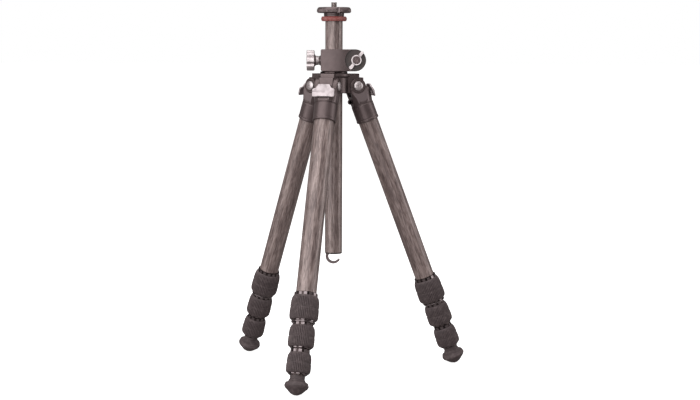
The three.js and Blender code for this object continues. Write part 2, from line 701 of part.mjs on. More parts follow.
function buildCentre() {
  const centre = new THREE.Group();
  add(centre, "spider", spider(), castAluminium);
  add(centre, "pan_ring", panRing(), castAluminium);
  add(centre, "column_clamp_block", columnClampBlock(), castAluminium);
  add(centre, "clamp_knob", clampKnob(), silver);
  add(centre, "clamp_screw", clampScrew(), steel);
  add(centre, "clamp_shoe", clampShoe(), nylon);
  add(centre, "tilt_lever", tiltLever(), silver);
  add(centre, "lever_screw", leverScrew(), castAluminium);
  add(centre, "column_tube", columnTube(), carbon);
  add(centre, "column_head", columnHead(), castAluminium);
  add(centre, "shock_ring", shockRing(), redRubber);
  add(centre, "camera_platform", cameraPlatform(), castAluminium);
  add(centre, "camera_stud", cameraStud(), steel);
  add(centre, "column_end_cap", columnEndCap(), nylon);
  add(centre, "ballast_hook", ballastHook(), castAluminium);
  add(centre, "hook_spring", hookSpring(), steel);
  return centre;
}

// ---- assembly ----
const tripod = new THREE.Group();
const standing = new THREE.Group();
standing.add(buildCentre());
for (const side of Object.keys(LEG_AZIMUTH)) standing.add(buildLeg(side));
tripod.add(standing);

// move the floor and the middle of the box to the origin
const extent = new THREE.Box3().setFromObject(standing, true);
const middle = extent.getCenter(new THREE.Vector3());
standing.position.set(-middle.x, -middle.y, -extent.min.z);

export default tripod;
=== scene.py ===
import json
import math

import bmesh
import bpy
from mathutils import Matrix, Vector


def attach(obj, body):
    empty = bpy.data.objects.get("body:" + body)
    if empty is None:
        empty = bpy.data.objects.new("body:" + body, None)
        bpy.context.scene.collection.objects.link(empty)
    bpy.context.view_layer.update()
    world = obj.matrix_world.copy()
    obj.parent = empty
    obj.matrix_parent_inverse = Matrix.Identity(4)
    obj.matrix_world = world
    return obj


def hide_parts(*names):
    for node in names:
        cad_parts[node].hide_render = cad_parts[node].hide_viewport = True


bl_info = {
    "name": "Carbon-fibre tripod",
    "version": (1, 0, 0),
    "blender": (4, 5, 0),
    "location": "3D View > Sidebar > Tripod",
    "description": "Builds a four-section tripod's pieces, finishes and studio round its packed frame",
    "category": "Object",
}

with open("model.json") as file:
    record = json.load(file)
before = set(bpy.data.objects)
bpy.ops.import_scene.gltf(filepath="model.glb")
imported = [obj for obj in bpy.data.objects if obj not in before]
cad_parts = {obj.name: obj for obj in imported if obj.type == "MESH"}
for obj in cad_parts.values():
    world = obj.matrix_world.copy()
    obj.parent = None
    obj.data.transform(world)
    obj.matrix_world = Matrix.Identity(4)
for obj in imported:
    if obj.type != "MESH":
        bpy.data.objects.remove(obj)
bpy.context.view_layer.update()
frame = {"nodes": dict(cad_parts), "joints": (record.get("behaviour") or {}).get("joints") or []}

# Shapes are drawn in millimetres, each in the frame of its leg or of the centre column.
MM = 0.001
SIDES = ("right", "left", "front")
HINGE_ALONG = 496.4  # a leg's hinge, up the leg from the middle of the foot's bottom
BLOCK_BOTTOM = 487.2
BLOCK_TOP = 522.5
GAP = 0.3  # between pieces that touch


# ---- where the frame says things are ----

def joint(name):
    return next(j for j in frame["joints"] if j["name"] == name)


def leg_place(side):
    """A leg's own frame: x outward, y sideways, z up the leg from the middle of the foot's bottom."""
    hinge = joint(side + "_leg_hinge")
    up = -Vector(joint(side + "_slide_2")["axis"]).normalized()
    sideways = -Vector(hinge["axis"]).normalized()
    outward = sideways.cross(up)
    origin = Vector(hinge["pos_m"]) - up * HINGE_ALONG * MM
    return Matrix.Translation(origin) @ Matrix((outward, sideways, up)).transposed().to_4x4()


def centre_place():
    """The column's frame: z up its axis, with the floor just below zero."""
    pan = Vector(joint("block_pan")["pos_m"])
    return Matrix.Translation(pan - Vector((0, 0, BLOCK_BOTTOM * MM)))


LEG = {side: leg_place(side) for side in SIDES}
CENTRE = centre_place()


def hinge_seat():
    """How far a leg's hinge is from the column's axis, and its height in the column's frame, in mm."""
    seat = CENTRE.inverted() @ Vector(joint("front_leg_hinge")["pos_m"]) / MM
    return math.hypot(seat.x, seat.y), seat.z


HINGE_RADIUS, HINGE_Z = hinge_seat()


def reach(node, place):
    """In mm: a node's least and greatest distance from a frame's z axis, and its lowest and highest z."""
    inverse = place.inverted()
    points = [(inverse @ v.co) / MM for v in frame["nodes"][node].data.vertices]
    radii = [math.hypot(p.x, p.y) for p in points]
    return min(radii), max(radii), min(p.z for p in points), max(p.z for p in points)


# ---- settings ----

def linear(hex_colour):
    """An sRGB hex colour as linear red, green, blue and alpha."""
    shades = [int(hex_colour[i : i + 2], 16) / 255 for i in (1, 3, 5)]
    return [s / 12.92 if s <= 0.04045 else ((s + 0.055) / 1.055) ** 2.4 for s in shades] + [1.0]


def colour(name, description, hex_colour):
    return bpy.props.FloatVectorProperty(
        name=name, description=description, size=4, subtype="COLOR", min=0, max=1, default=linear(hex_colour)
    )


def length(name, description, millimetres):
    return bpy.props.FloatProperty(
        name=name, description=description, unit="LENGTH", subtype="DISTANCE", default=millimetres * MM
    )


def count(name, description, default):
    return bpy.props.IntProperty(name=name, description=description, min=1, default=default)


def angle(name, description, degrees):
    return bpy.props.FloatProperty(
        name=name, description=description, subtype="ANGLE", default=math.radians(degrees)
    )


class TripodFinishes(bpy.types.PropertyGroup):
    """Colours of the tripod's materials."""

    # the two carbon colours are painted sheen: a lit and a shaded copy of the fibre colour, for bundles that
    # face towards and away from the light
    carbon_painted_lit: colour("Carbon, light fibre", "Fibre bundles that face the light", "#c3b6b3")
    carbon_painted_shade: colour("Carbon, dark fibre", "Fibre bundles that face away", "#8a7d7b")
    anodised: colour("Black anodised", "Castings and the clamp block", "#685b5b")
    anodised_worn: colour("Black anodised, edges", "Edges where the colour has rubbed thin", "#8a7d7e")
    polished: colour("Polished black", "Turned rings of the leg locks", "#2c2424")
    # the pads' paler tone is a painted glint: the pads are the same polished black as their ring, and this
    # tone stands for the lamps they mirror; the lip under the top lock takes it too
    pads: colour("Polished pads", "Bright pads round the lock rings", "#8d8384")
    silver: colour("Clear anodised", "Knob, lever and hinge caps", "#d6cdce")
    blasted: colour("Clear anodised, blasted", "Stop tabs", "#c4babc")
    rubber: colour("Rubber", "Lock sleeves and feet", "#574c4d")
    rubber_dust: colour("Rubber, dusty", "Dust and bloom on the rubber", "#796d6d")
    red: colour("Red rubber", "Shock ring", "#a05450")
    red_dust: colour("Red rubber, dusty", "Dust on the shock ring", "#bd8f8a")
    nylon: colour("Nylon", "Collets, shoe and end cap", "#352b2a")
    steel: colour("Steel", "Stud, screw and spring", "#c9c2c0")


class TripodDetails(bpy.types.PropertyGroup):
    """Sizes of the fine detail."""

    rib_pitch: length("Rib pitch", "Distance between ribs round a lock sleeve", 2.9)
    rib_depth: length("Rib depth", "Depth of the grooves between ribs", 1.0)
    pad_pitch: length("Pad pitch", "Distance between the polished pads round a lock ring", 8.4)
    pad_height: length("Pad height", "How far a pad stands out of its ring", 0.9)
    casting_edge: length("Casting edge", "Rounding of the castings' edges", 0.55)
    machined_edge: length("Machined edge", "Rounding of the machined pieces' edges", 0.4)
    streak_width: length("Streak width", "Width of a carbon streak", 1.7)
    streak_length: length("Streak length", "Length of a carbon streak", 16)
    thread_pitch: length("Thread pitch", "Pitch of the 3/8 inch stud", 1.5875)
    knurl_count: count("Knurl count", "Ribs round the platform's rim", 110)
    knob_lobes: count("Knob lobes", "Lobes round the clamp knob", 8)


class TripodStudio(bpy.types.PropertyGroup):
    """The camera, the lights and the floor."""

    distance: length("Camera distance", "From the column's axis", 2508.6)
    height: length("Camera height", "Above the floor", 518.6)
    yaw: angle("Camera yaw", "Turn to the right", 0.61)
    pitch: angle("Camera pitch", "Tilt down", 5.47)
    roll: angle("Camera roll", "Turn about the line of sight", 0.20)
    lens: bpy.props.FloatProperty(name="Lens", description="Focal length in mm", unit="CAMERA", default=79.7)
    floor: colour("Floor", "Floor of the studio", "#fdfdfd")
    surround: colour("Surround", "Unlit walls that the metal mirrors", "#8c8786")


# ---- shapes, in millimetres ----

def rounded(corners, closed=False, steps=4):
    """An outline whose (x, y, radius) corners are rounded off; an (x, y) corner stays sharp."""
    outline = []
    last = len(corners) - 1
    for i, corner in enumerate(corners):
        here = Vector(corner[:2])
        if len(corner) == 2 or (not closed and i in (0, last)):
            outline.append(tuple(here))
            continue
        before = Vector(corners[i - 1][:2]) - here
        after = Vector(corners[(i + 1) % len(corners)][:2]) - here
        half = before.angle(after) / 2
        cut = min(corner[2] / math.tan(half), 0.48 * before.length, 0.48 * after.length)
        start = here + before.normalized() * cut
        end = here + after.normalized() * cut
        for k in range(steps + 1):
            t = k / steps
            point = start * (1 - t) ** 2 + here * 2 * t * (1 - t) + end * t**2
            outline.append(tuple(point))
    return outline


def arc(centre, radius, start, end, steps=24):
    """Points on an arc, from one angle to another in degrees."""
    points = []
    for k in range(steps + 1):
        turn = math.radians(start + (end - start) * k / steps)
        points.append((centre[0] + radius * math.cos(turn), centre[1] + radius * math.sin(turn)))
    return points


def working(bm):
    """A working object from a bmesh."""
    bmesh.ops.recalc_face_normals(bm, faces=bm.faces)
    mesh = bpy.data.meshes.new("working")
    bm.to_mesh(mesh)
    bm.free()
    obj = bpy.data.objects.new("working", mesh)
    bpy.context.scene.collection.objects.link(obj)
    return obj


def turned(profile, sides=96, closed=False, shape=None):
    """Turns (radius, height) points about z. A point on the axis closes an end; closed joins last to first.
    shape(radius, height, turn) may give each point another radius."""
    bm = bmesh.new()
    rows = []
    for radius, height in profile:
        if radius < 1e-6:
            rows.append([bm.verts.new((0, 0, height))])
            continue
        row = []
        for i in range(sides):
            turn = 2 * math.pi * i / sides
            r = shape(radius, height, turn) if shape else radius
            row.append(bm.verts.new((r * math.cos(turn), r * math.sin(turn), height)))
        rows.append(row)
    pairs = list(zip(rows, rows[1:]))
    if closed:
        pairs.append((rows[-1], rows[0]))
    for low, high in pairs:
        for i in range(sides):
            j = (i + 1) % sides
            corners = [low[i % len(low)], low[j % len(low)], high[j % len(high)], high[i % len(high)]]
            bm.faces.new(dict.fromkeys(corners))
    return working(bm)


def lathe(corners, sides, closed=False, steps=3, shape=None):
    """Turns an outline of (radius, height, rounding) corners about z."""
    return turned(rounded(corners, closed, steps), sides, closed, shape)


def slab(outline, low, high, axis="y"):
    """An outline given thickness: (x, z) points along y, or (x, y) points along z."""
    bm = bmesh.new()
    rows = []
    for level in (low, high):
        if axis == "y":
            rows.append([bm.verts.new((x, level, z)) for x, z in outline])
        else:
            rows.append([bm.verts.new((x, y, level)) for x, y in outline])
    for row in rows:
        bm.faces.new(row)
    for i in range(len(outline)):
        j = (i + 1) % len(outline)
        bm.faces.new((rows[0][i], rows[0][j], rows[1][j], rows[1][i]))
    return working(bm)


def block(low, high):
    """A box between two corners, as a cutting tool."""
    x = (low[0], high[0])
    z = (low[2], high[2])
    return slab([(x[0], z[0]), (x[1], z[0]), (x[1], z[1]), (x[0], z[1])], low[1], high[1])


def rod(radius, low, high, axis="z", at=(0, 0, 0), sides=64):
    """A plain rod along an axis through a point, as a cutting tool or a hidden shank."""
    return turn_to(turned([(0, low), (radius, low), (radius, high), (0, high)], sides), axis, at)


def turn_to(obj, axis, at=(0, 0, 0)):
    """Lays a working object's z along x or y, and moves it to a point."""
    quarter = math.pi / 2
    lay = {"x": Matrix.Rotation(quarter, 4, "Y"), "y": Matrix.Rotation(-quarter, 4, "X"), "z": Matrix()}
    obj.data.transform(Matrix.Translation(at) @ lay[axis])
    return obj


def baked(obj):
    """Applies a working object's modifiers."""
    graph = bpy.context.evaluated_depsgraph_get()
    mesh = bpy.data.meshes.new_from_object(obj.evaluated_get(graph))
    obj.modifiers.clear()
    obj.data = mesh
    return obj


def combined(base, tools, how):
    """Joins, cuts or intersects a working object with others, which are used up."""
    for tool in tools:
        boolean = base.modifiers.new("combine", "BOOLEAN")
        boolean.operation = how
        boolean.solver = "EXACT"
        boolean.object = tool
    baked(base)
    for tool in tools:
        bpy.data.objects.remove(tool)
    return base


def joined(base, *others):
    return combined(base, others, "UNION")


def cut(base, *tools):
    return combined(base, tools, "DIFFERENCE")


def shared(base, *others):
    return combined(base, others, "INTERSECT")


def edged(obj, width, segments=3, limit=32):
    """Rounds a working object's edges that are sharper than a limit in degrees."""
    bevel = obj.modifiers.new("edges", "BEVEL")
    bevel.width = width
    bevel.segments = segments
    bevel.limit_method = "ANGLE"
    bevel.angle_limit = math.radians(limit)
    bevel.use_clamp_overlap = False
    return baked(obj)


def finished(obj, finish, sharp=38, second=None, where=None):
    """Shades a working object, gives it its material and returns its mesh in metres.
    Faces whose middle passes the test where take the second material."""
    for polygon in obj.data.polygons:
        polygon.use_smooth = True
    obj.data.set_sharp_from_angle(angle=math.radians(sharp))
    weighted = obj.modifiers.new("flat faces stay flat", "WEIGHTED_NORMAL")
    weighted.keep_sharp = True
    baked(obj)
    mesh = obj.data
    bpy.data.objects.remove(obj)
    mesh.materials.clear()
    mesh.materials.append(finish)
    for polygon in mesh.polygons:
        polygon.material_index = 0
    if second:
        mesh.materials.append(second)
        for polygon in mesh.polygons:
            if where(polygon.center):
                polygon.material_index = 1
    mesh.transform(Matrix.Scale(MM, 4))
    return mesh


def place_piece(name, mesh, place, body, stands_for=(), own_axes=True):
    """Puts a finished mesh in its place, riding on its CAD body.
    Without own_axes the place goes into the mesh itself, and the piece keeps the scene's axes."""
    if not own_axes:
        mesh = mesh.copy()
        mesh.transform(place)
    piece = bpy.data.objects.new(name, mesh)
    mesh.name = name
    bpy.context.scene.collection.objects.link(piece)
    if own_axes:
        piece.matrix_world = place
    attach(piece, body)
    if stands_for:
        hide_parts(*stands_for)
    return piece


def place_on_legs(ending, mesh, body, stands_for=None, own_axes=True):
    """Puts the same mesh on each leg. body and stands_for are endings of the names after the leg's side."""
    for side in SIDES:
        nodes = [side + "_" + stands_for] if stands_for else []
        place_piece(side + "_" + ending, mesh, LEG[side], side + "_" + body, nodes, own_axes)


# ---- materials ----

def add_node(tree, kind, settings=None, inputs=None):
    """Adds a node. An input is a value, or another node's output to link."""
    made = tree.nodes.new(kind)
    for name, value in (settings or {}).items():
        setattr(made, name, value)
    for name, value in (inputs or {}).items():
        if isinstance(value, bpy.types.NodeSocket):
            tree.links.new(value, made.inputs[name])
        else:
            made.inputs[name].default_value = value
    return made


def new_material(name):
    """A material with an empty tree, its shader and the coordinates of the piece's own frame."""
    made = bpy.data.materials.new(name)
    made.use_nodes = True
    tree = made.node_tree
    tree.nodes.clear()
    shader = add_node(tree, "ShaderNodeBsdfPrincipled")
    add_node(tree, "ShaderNodeOutputMaterial", None, {"Surface": shader.outputs["BSDF"]})
    where = add_node(tree, "ShaderNodeTexCoord").outputs["Object"]
    return made, tree, shader, where


def grain(tree, where, size, detail=3, roughness=0.5, distortion=0.0):
    """Noise whose grains are size = (x, y, z) millimetres across."""
    scale = [1 / (s * MM) for s in size]
    stretched = add_node(tree, "ShaderNodeMapping", None, {"Vector": where, "Scale": scale})
    noise = add_node(
        tree,
        "ShaderNodeTexNoise",
        None,
        {
            "Vector": stretched.outputs["Vector"],
            "Scale": 1.0,
            "Detail": detail,
            "Roughness": roughness,
            "Distortion": distortion,
        },
    )
    return noise.outputs["Fac"]


def ranged(tree, value, low, high, to_low=0.0, to_high=1.0):
    """A value's low to high stretched to a new range, smoothly, and held beyond it."""
    inputs = {"Value": value, "From Min": low, "From Max": high, "To Min": to_low, "To Max": to_high}
    smooth = {"interpolation_type": "SMOOTHSTEP"}
    return add_node(tree, "ShaderNodeMapRange", smooth, inputs).outputs["Result"]


def mixed(tree, factor, first, second, blend="MIX"):
    """Two colours mixed by a factor."""
    inputs = {"Factor": factor, 6: first, 7: second}
    return add_node(tree, "ShaderNodeMix", {"data_type": "RGBA", "blend_type": blend}, inputs).outputs[2]


def bumped(tree, heights):
    """A normal from several (height, depth in millimetres) pairs, one on the other."""
    normal = None
    for height, depth in heights:
        inputs = {"Height": height, "Strength": 1.0, "Distance": depth * MM}
        if normal:
            inputs["Normal"] = normal
        normal = add_node(tree, "ShaderNodeBump", None, inputs).outputs["Normal"]
    return normal


def shade(shader, **sockets):
    """Sets or links the shader's sockets, whose names are given with underscores."""
    tree = shader.id_data
    for name, value in sockets.items():
        socket = shader.inputs[name.replace("_", " ")]
        if isinstance(value, bpy.types.NodeSocket):
            tree.links.new(value, socket)
        else:
            socket.default_value = value


def carbon_tube_finish():
    """Unidirectional carbon fibre, rolled and cured in clear epoxy and ground smooth.

    The bundles lie along the tube at slightly different slants, and the sheen that this gives is painted into
    the colour as wavy lighter and darker streaks.
    Real bundles are about 0.4 mm wide: they are drawn four times as coarse, or they would not show."""
    made, tree, shader, where = new_material("carbon fibre, rolled in epoxy")
    looks = bpy.context.scene.tripod_finishes
    detail = bpy.context.scene.tripod_details
    width = detail.streak_width / MM
    run = detail.streak_length / MM
    shift = add_node(tree, "ShaderNodeObjectInfo").outputs["Random"]
    apart = add_node(tree, "ShaderNodeVectorMath", {"operation": "ADD"}, {0: where, 1: shift}).outputs[0]
    streaks = grain(tree, apart, (width, width, run), 3, 0.6, 0.35)
    broad = grain(tree, apart, (3.2 * width, 3.2 * width, 4 * run), 2, 0.5, 0.6)
    flecks = grain(tree, apart, (0.45 * width, 0.45 * width, 0.5 * run), 2, 0.6)
    # painted sheen: the fine streaks and the broad drift lighten and darken the fibre colour the way the
    # bundles' slants catch the light
    painted_sheen_streaks = mixed(
        tree,
        ranged(tree, streaks, 0.34, 0.66),
        list(looks.carbon_painted_shade),
        list(looks.carbon_painted_lit),
    )
    painted_sheen_drift = mixed(tree, ranged(tree, broad, 0.35, 0.65), linear("#9a8a88"), linear("#e2d8d5"))
    toned = mixed(tree, 0.75, painted_sheen_streaks, painted_sheen_drift, "MULTIPLY")
    flecked = mixed(tree, ranged(tree, flecks, 0.35, 0.7), linear("#c9bfbd"), linear("#ffffff"))
    shade(
        shader,
        Base_Color=mixed(tree, 0.5, toned, flecked, "MULTIPLY"),
        Roughness=ranged(tree, streaks, 0.3, 0.7, 0.30, 0.46),
        Metallic=0.25,
        Coat_Weight=0.3,
        Coat_Roughness=0.28,
        Normal=bumped(tree, [(broad, 0.30), (streaks, 0.07)]),
    )
    return made


def cast_finish():
    """Cast aluminium, bead blasted and anodised black.

    The blasting gives a fine satin grain; the colour is rubbed thinner on the edges."""
    made, tree, shader, where = new_material("aluminium, cast and black anodised")
    looks = bpy.context.scene.tripod_finishes
    # blast marks are about 0.1 mm: drawn at 0.5 mm so that they show
    blasted = grain(tree, where, (0.5, 0.5, 0.5), 2)
    cloudy = grain(tree, where, (9, 9, 9), 3)
    worn = add_node(tree, "ShaderNodeNewGeometry").outputs["Pointiness"]
    edges = ranged(tree, worn, 0.52, 0.60)
    clouded = mixed(tree, ranged(tree, cloudy, 0.3, 0.7, 0.0, 0.5), list(looks.anodised), linear("#5a4e4e"))
    shade(
        shader,
        Base_Color=mixed(tree, edges, clouded, list(looks.anodised_worn)),
        Metallic=0.65,
        Roughness=ranged(tree, blasted, 0.3, 0.7, 0.31, 0.44),
        Normal=bumped(tree, [(blasted, 0.02)]),
    )
    return made


def polished_finish(name, tone, smeared):
    """Aluminium, diamond turned and anodised in a dark tone.

    Turned marks run round it, and it mirrors the lamps as hard glints between near-black gaps."""
    made, tree, shader, where = new_material(name)
    marks = grain(tree, where, (14, 14, 0.35), 2)
    smears = grain(tree, where, (5, 5, 5), 2)
    shade(
        shader,
        Base_Color=mixed(tree, ranged(tree, smears, 0.3, 0.7), list(tone), linear(smeared)),
        Metallic=0.9,
        Roughness=ranged(tree, smears, 0.3, 0.7, 0.12, 0.24),
        Normal=bumped(tree, [(marks, 0.012)]),
    )
    return made


def silver_finish(name, tone, handled_tone, roughness):
    """Aluminium, machined or blasted, and clear anodised.

    A bright satin with faint mill marks and slightly duller patches from handling."""
    made, tree, shader, where = new_material(name)
    marks = grain(tree, where, (6, 6, 0.4), 3)
    handled = grain(tree, where, (7, 7, 7), 3)
    shade(
        shader,
        Base_Color=mixed(tree, ranged(tree, handled, 0.35, 0.7), list(tone), linear(handled_tone)),
        Metallic=0.85,
        Roughness=ranged(tree, handled, 0.3, 0.7, roughness, roughness + 0.1),
        Normal=bumped(tree, [(marks, 0.015)]),
    )
    return made


def rubber_finish(name, fresh, dusty, depth=0.05):
    """Moulded rubber, a little dusty.

    Matt with a fine moulded tooth, a paler bloom in patches, and painted shade in the hollows between the
    ribs."""
    made, tree, shader, where = new_material(name)
    # the mould's tooth is about 0.15 mm: drawn at 0.6 mm so that it shows
    tooth = grain(tree, where, (0.6, 0.6, 0.6), 2)
    bloom = grain(tree, where, (6, 6, 6), 4, 0.6)
    dusted = mixed(tree, ranged(tree, bloom, 0.42, 0.75, 0.0, 0.7), list(fresh), list(dusty))
    speckled = mixed(tree, ranged(tree, tooth, 0.3, 0.7), linear("#cfc8c8"), linear("#ffffff"))
    # painted shade: hollows such as the grooves between the ribs, found by pointiness, are darkened where
    # shade falls
    crests = add_node(tree, "ShaderNodeNewGeometry").outputs["Pointiness"]
    shadowed = mixed(tree, ranged(tree, crests, 0.40, 0.54), linear("#7f7777"), linear("#ffffff"))
    grooved = mixed(tree, 1.0, dusted, shadowed, "MULTIPLY")
    shade(
        shader,
        Base_Color=mixed(tree, 0.6, grooved, speckled, "MULTIPLY"),
        Roughness=ranged(tree, bloom, 0.3, 0.7, 0.58, 0.74),
        IOR=1.5,
        Specular_IOR_Level=0.4,
        Normal=bumped(tree, [(tooth, depth)]),
    )
    return made


def nylon_finish():
    """Glass-filled nylon, moulded.

    Near black with a low sheen, and faint pale flow marks from the glass."""
    made, tree, shader, where = new_material("nylon, moulded and glass filled")
    looks = bpy.context.scene.tripod_finishes
    flow = grain(tree, where, (2, 2, 7), 3, 0.6, 0.5)
    shade(
        shader,
        Base_Color=mixed(tree, ranged(tree, flow, 0.45, 0.8), list(looks.nylon), linear("#4f4241")),
        Roughness=ranged(tree, flow, 0.3, 0.7, 0.42, 0.55),
        IOR=1.53,
        Normal=bumped(tree, [(flow, 0.02)]),
    )
    return made


def steel_finish():
    """Stainless steel, turned.

    Fine rings round the axis spread the light across it."""
    made, tree, shader, where = new_material("stainless steel, turned")
    looks = bpy.context.scene.tripod_finishes
    rings = grain(tree, where, (20, 20, 0.25), 2)
    shade(
        shader,
        Base_Color=mixed(tree, ranged(tree, rings, 0.3, 0.7), list(looks.steel), linear("#a09896")),
        Metallic=1.0,
        Roughness=ranged(tree, rings, 0.3, 0.7, 0.22, 0.34),
        Normal=bumped(tree, [(rings, 0.01)]),
    )
    return made


FINISHES = {}


def finish_of(slot):
    """The material of one of the record's slots, made when it is first asked for."""
    looks = bpy.context.scene.tripod_finishes
    makers = {
        "carbon_tube": carbon_tube_finish,
        "cast_aluminium": cast_finish,
        "polished_aluminium": lambda: polished_finish("aluminium, polished black", looks.polished, "#4d4242"),
        # painted glint: the pads' finish is a paler copy of the polished black
        "pad_aluminium": lambda: polished_finish("aluminium, polished pads", looks.pads, "#6f6566"),
        "silver_aluminium": lambda: silver_finish(
            "aluminium, machined and clear anodised", looks.silver, "#bdb4b5", 0.32
        ),
        "blasted_aluminium": lambda: silver_finish(
            "aluminium, blasted and clear anodised", looks.blasted, "#aca2a4", 0.44
        ),
        "lock_rubber": lambda: rubber_finish("rubber, moulded sleeve", looks.rubber, looks.rubber_dust),
        "foot_rubber": lambda: rubber_finish("rubber, moulded foot", looks.rubber, looks.rubber_dust, 0.08),
        "shock_rubber": lambda: rubber_finish("rubber, moulded red", looks.red, looks.red_dust),
        "nylon": nylon_finish,
        "steel": steel_finish,
    }
    if slot not in FINISHES:
        FINISHES[slot] = makers[slot]()
    return FINISHES[slot]


# ---- leg pieces ----

TUBE_RADII = (16.0, 14.0, 12.5, 11.0)
SHIM_HEIGHT = 14  # the guide shims at the top of an inner tube


def tube_mesh(level):
    """One tube of a leg, with the guide shims bonded round the top of an inner one."""
    inner, outer, low, high = reach(f"front_tube_{level + 1}", LEG["front"])
    rim = 0.25
    profile = [(inner, low, rim), (outer, low, rim)]
    if level:
        body = TUBE_RADII[level]
        shim_bottom = high - SHIM_HEIGHT
        profile = [(inner, low, rim), (body, low, rim), (body, shim_bottom), (outer, shim_bottom, 0.1)]
    profile += [(outer, high, rim), (inner, high, rim)]
    return finished(lathe(profile, 128, True), finish_of("carbon_tube"))


class TRIPOD_OT_tubes(bpy.types.Operator):
    """Make the four carbon tubes of each leg"""

    bl_idname = "tripod.tubes"
    bl_label = "Leg tubes"

    def execute(self, context):
        bodies = ("leg", "section_2", "section_3", "section_4")
        for level, body in enumerate(bodies):
            name = f"tube_{level + 1}"
            place_on_legs("carbon_" + name, tube_mesh(level), body, name)
        return {"FINISHED"}


LOWER_RING = 2.4  # heights of a lock's bare rings, below and above its sleeve
UPPER_RING = 5.2
SLEEVE_DEPTH = 4.2  # how far the sleeve stands out of the rings


def lock_shell_mesh(level):
    """A twist lock's turned shell: a thin wall under the sleeve, and a ring of polished pads at each end."""
    detail = bpy.context.scene.tripod_details
    bore, outer, low, high = reach(f"front_collar_{level + 1}", LEG["front"])
    upper_bore = TUBE_RADII[level] + 0.5
    ring = outer - SLEEVE_DEPTH
    wall = max(ring - 0.6, upper_bore + 0.5)
    pads = round(2 * math.pi * ring / (detail.pad_pitch / MM))
    pad_height = detail.pad_height / MM

    def crenellated(radius, height, turn):
        if radius < ring - 0.01:
            return radius
        along = (turn * pads / (2 * math.pi)) % 1.0
        off_middle = (along - 0.5) * 2 * math.pi / pads
        flat = ring * math.cos(math.pi / pads * 0.66) / math.cos(off_middle)
        return flat if 0.17 < along < 0.83 else ring - pad_height

    profile = [
        (bore, low, 0.2),
        (ring - 1.2, low, 0.2),
        (ring - 1.2, low + 0.8),
        (ring, low + 0.9),
        (ring, low + LOWER_RING),
        (wall, low + LOWER_RING + 0.1),
        (wall, high - UPPER_RING - 0.1),
        (ring, high - UPPER_RING),
        (ring, high - 0.9),
        (ring - 1.2, high - 0.8),
        (ring - 1.2, high, 0.2),
        (upper_bore, high, 0.2),
        (upper_bore, low + 5),
        (bore, low + 5),
    ]
    shell = lathe(profile, pads * 24, True, 2, crenellated)

    # painted glint: faces on the pads take the paler pad finish, and the rest of the ring keeps the darker
    # polished black of the same metal
    def on_pad(middle):
        return math.hypot(middle.x, middle.y) > ring - 0.5 * pad_height

    return finished(shell, finish_of("polished_aluminium"), 25, finish_of("pad_aluminium"), on_pad)


def lock_sleeve_mesh(level):
    """A twist lock's rubber sleeve: two rows of fine ribs, with rounded shoulders."""
    detail = bpy.context.scene.tripod_details
    outer, low, high = reach(f"front_collar_{level + 1}", LEG["front"])[1:]
    ring = outer - SLEEVE_DEPTH
    wall = ring - 0.55
    bottom = low + LOWER_RING + 0.2
    top = high - UPPER_RING - 0.2
    tall = top - bottom
    ribs = round(2 * math.pi * outer / (detail.rib_pitch / MM))
    depth = detail.rib_depth / MM
    # how far in from the full radius, by height: the rows part at a shallow groove, the lower one fuller
    lower_row = ((0.0, 4.0), (0.0, 3.0), (0.02, 2.0), (0.05, 1.1), (0.09, 0.45), (0.14, 0.15), (0.2, 0.03))
    lower_row += ((0.3, 0.0), (0.4, 0.05), (0.46, 0.15), (0.485, 0.5))
    upper_row = ((0.5, 0.95), (0.515, 0.7), (0.545, 0.4), (0.6, 0.35), (0.7, 0.5), (0.78, 0.8), (0.85, 1.25))
    upper_row += ((0.9, 1.75), (0.94, 2.35), (0.975, 3.1), (1.0, 3.8), (1.0, 4.3))
    stations = lower_row + upper_row
    profile = [(outer - inset, bottom + tall * t) for t, inset in stations]
    profile += [(wall, top), (wall, bottom)]

    def ribbed(radius, height, turn):
        t = (height - bottom) / tall
        inset = outer - radius
        if inset > 3.6 or t <= 0.0 or t >= 1.0:
            return radius
        shown = min(1.0, t / 0.08, (1 - t) / 0.1, abs(t - 0.5) / 0.03)
        groove = max(0.0, math.cos(ribs * turn)) ** 1.5
        return radius - depth * shown * groove

    return finished(turned(profile, ribs * 8, True, ribbed), finish_of("lock_rubber"), 60)


def lock_trim_mesh():
    """The bright lip under the top lock."""
    top = reach("front_collar_1", LEG["front"])[2] + 0.2
    bore = 17.0
    outer = 18.5
    tall = 1.8
    profile = [(bore, top - tall), (outer, top - tall, 0.5), (outer, top, 0.5), (bore, top)]
    return finished(lathe(profile, 96, True), finish_of("pad_aluminium"))


def collet_mesh(level):
    """The split collet inside a twist lock."""
    inner, outer, low, high = reach(f"front_collet_{level + 1}", LEG["front"])
    profile = [(inner, low, 0.2), (inner + 1, low, 0.2), (outer, high, 0.2), (inner, high, 0.2)]
    ring = lathe(profile, 96, True, 2)
    split = 2.4
    cut(ring, block((inner - 4, -split / 2, low - 1), (outer + 4, split / 2, high + 1)))
    return finished(ring, finish_of("nylon"))


class TRIPOD_OT_locks(bpy.types.Operator):
    """Make the twist locks: shells, ribbed sleeves and collets"""

    bl_idname = "tripod.locks"
    bl_label = "Twist locks"

    def execute(self, context):
        carriers = ("leg", "section_2", "section_3")
        for level, carrier in enumerate(carriers):
            number = level + 1
            body = f"collar_{number}"
            place_on_legs(f"lock_shell_{number}", lock_shell_mesh(level), body, body)
            place_on_legs(f"lock_sleeve_{number}", lock_sleeve_mesh(level), body)
            place_on_legs(f"split_collet_{number}", collet_mesh(level), carrier, f"collet_{number}")
        place_on_legs("lock_trim", lock_trim_mesh(), "collar_1")
        return {"FINISHED"}


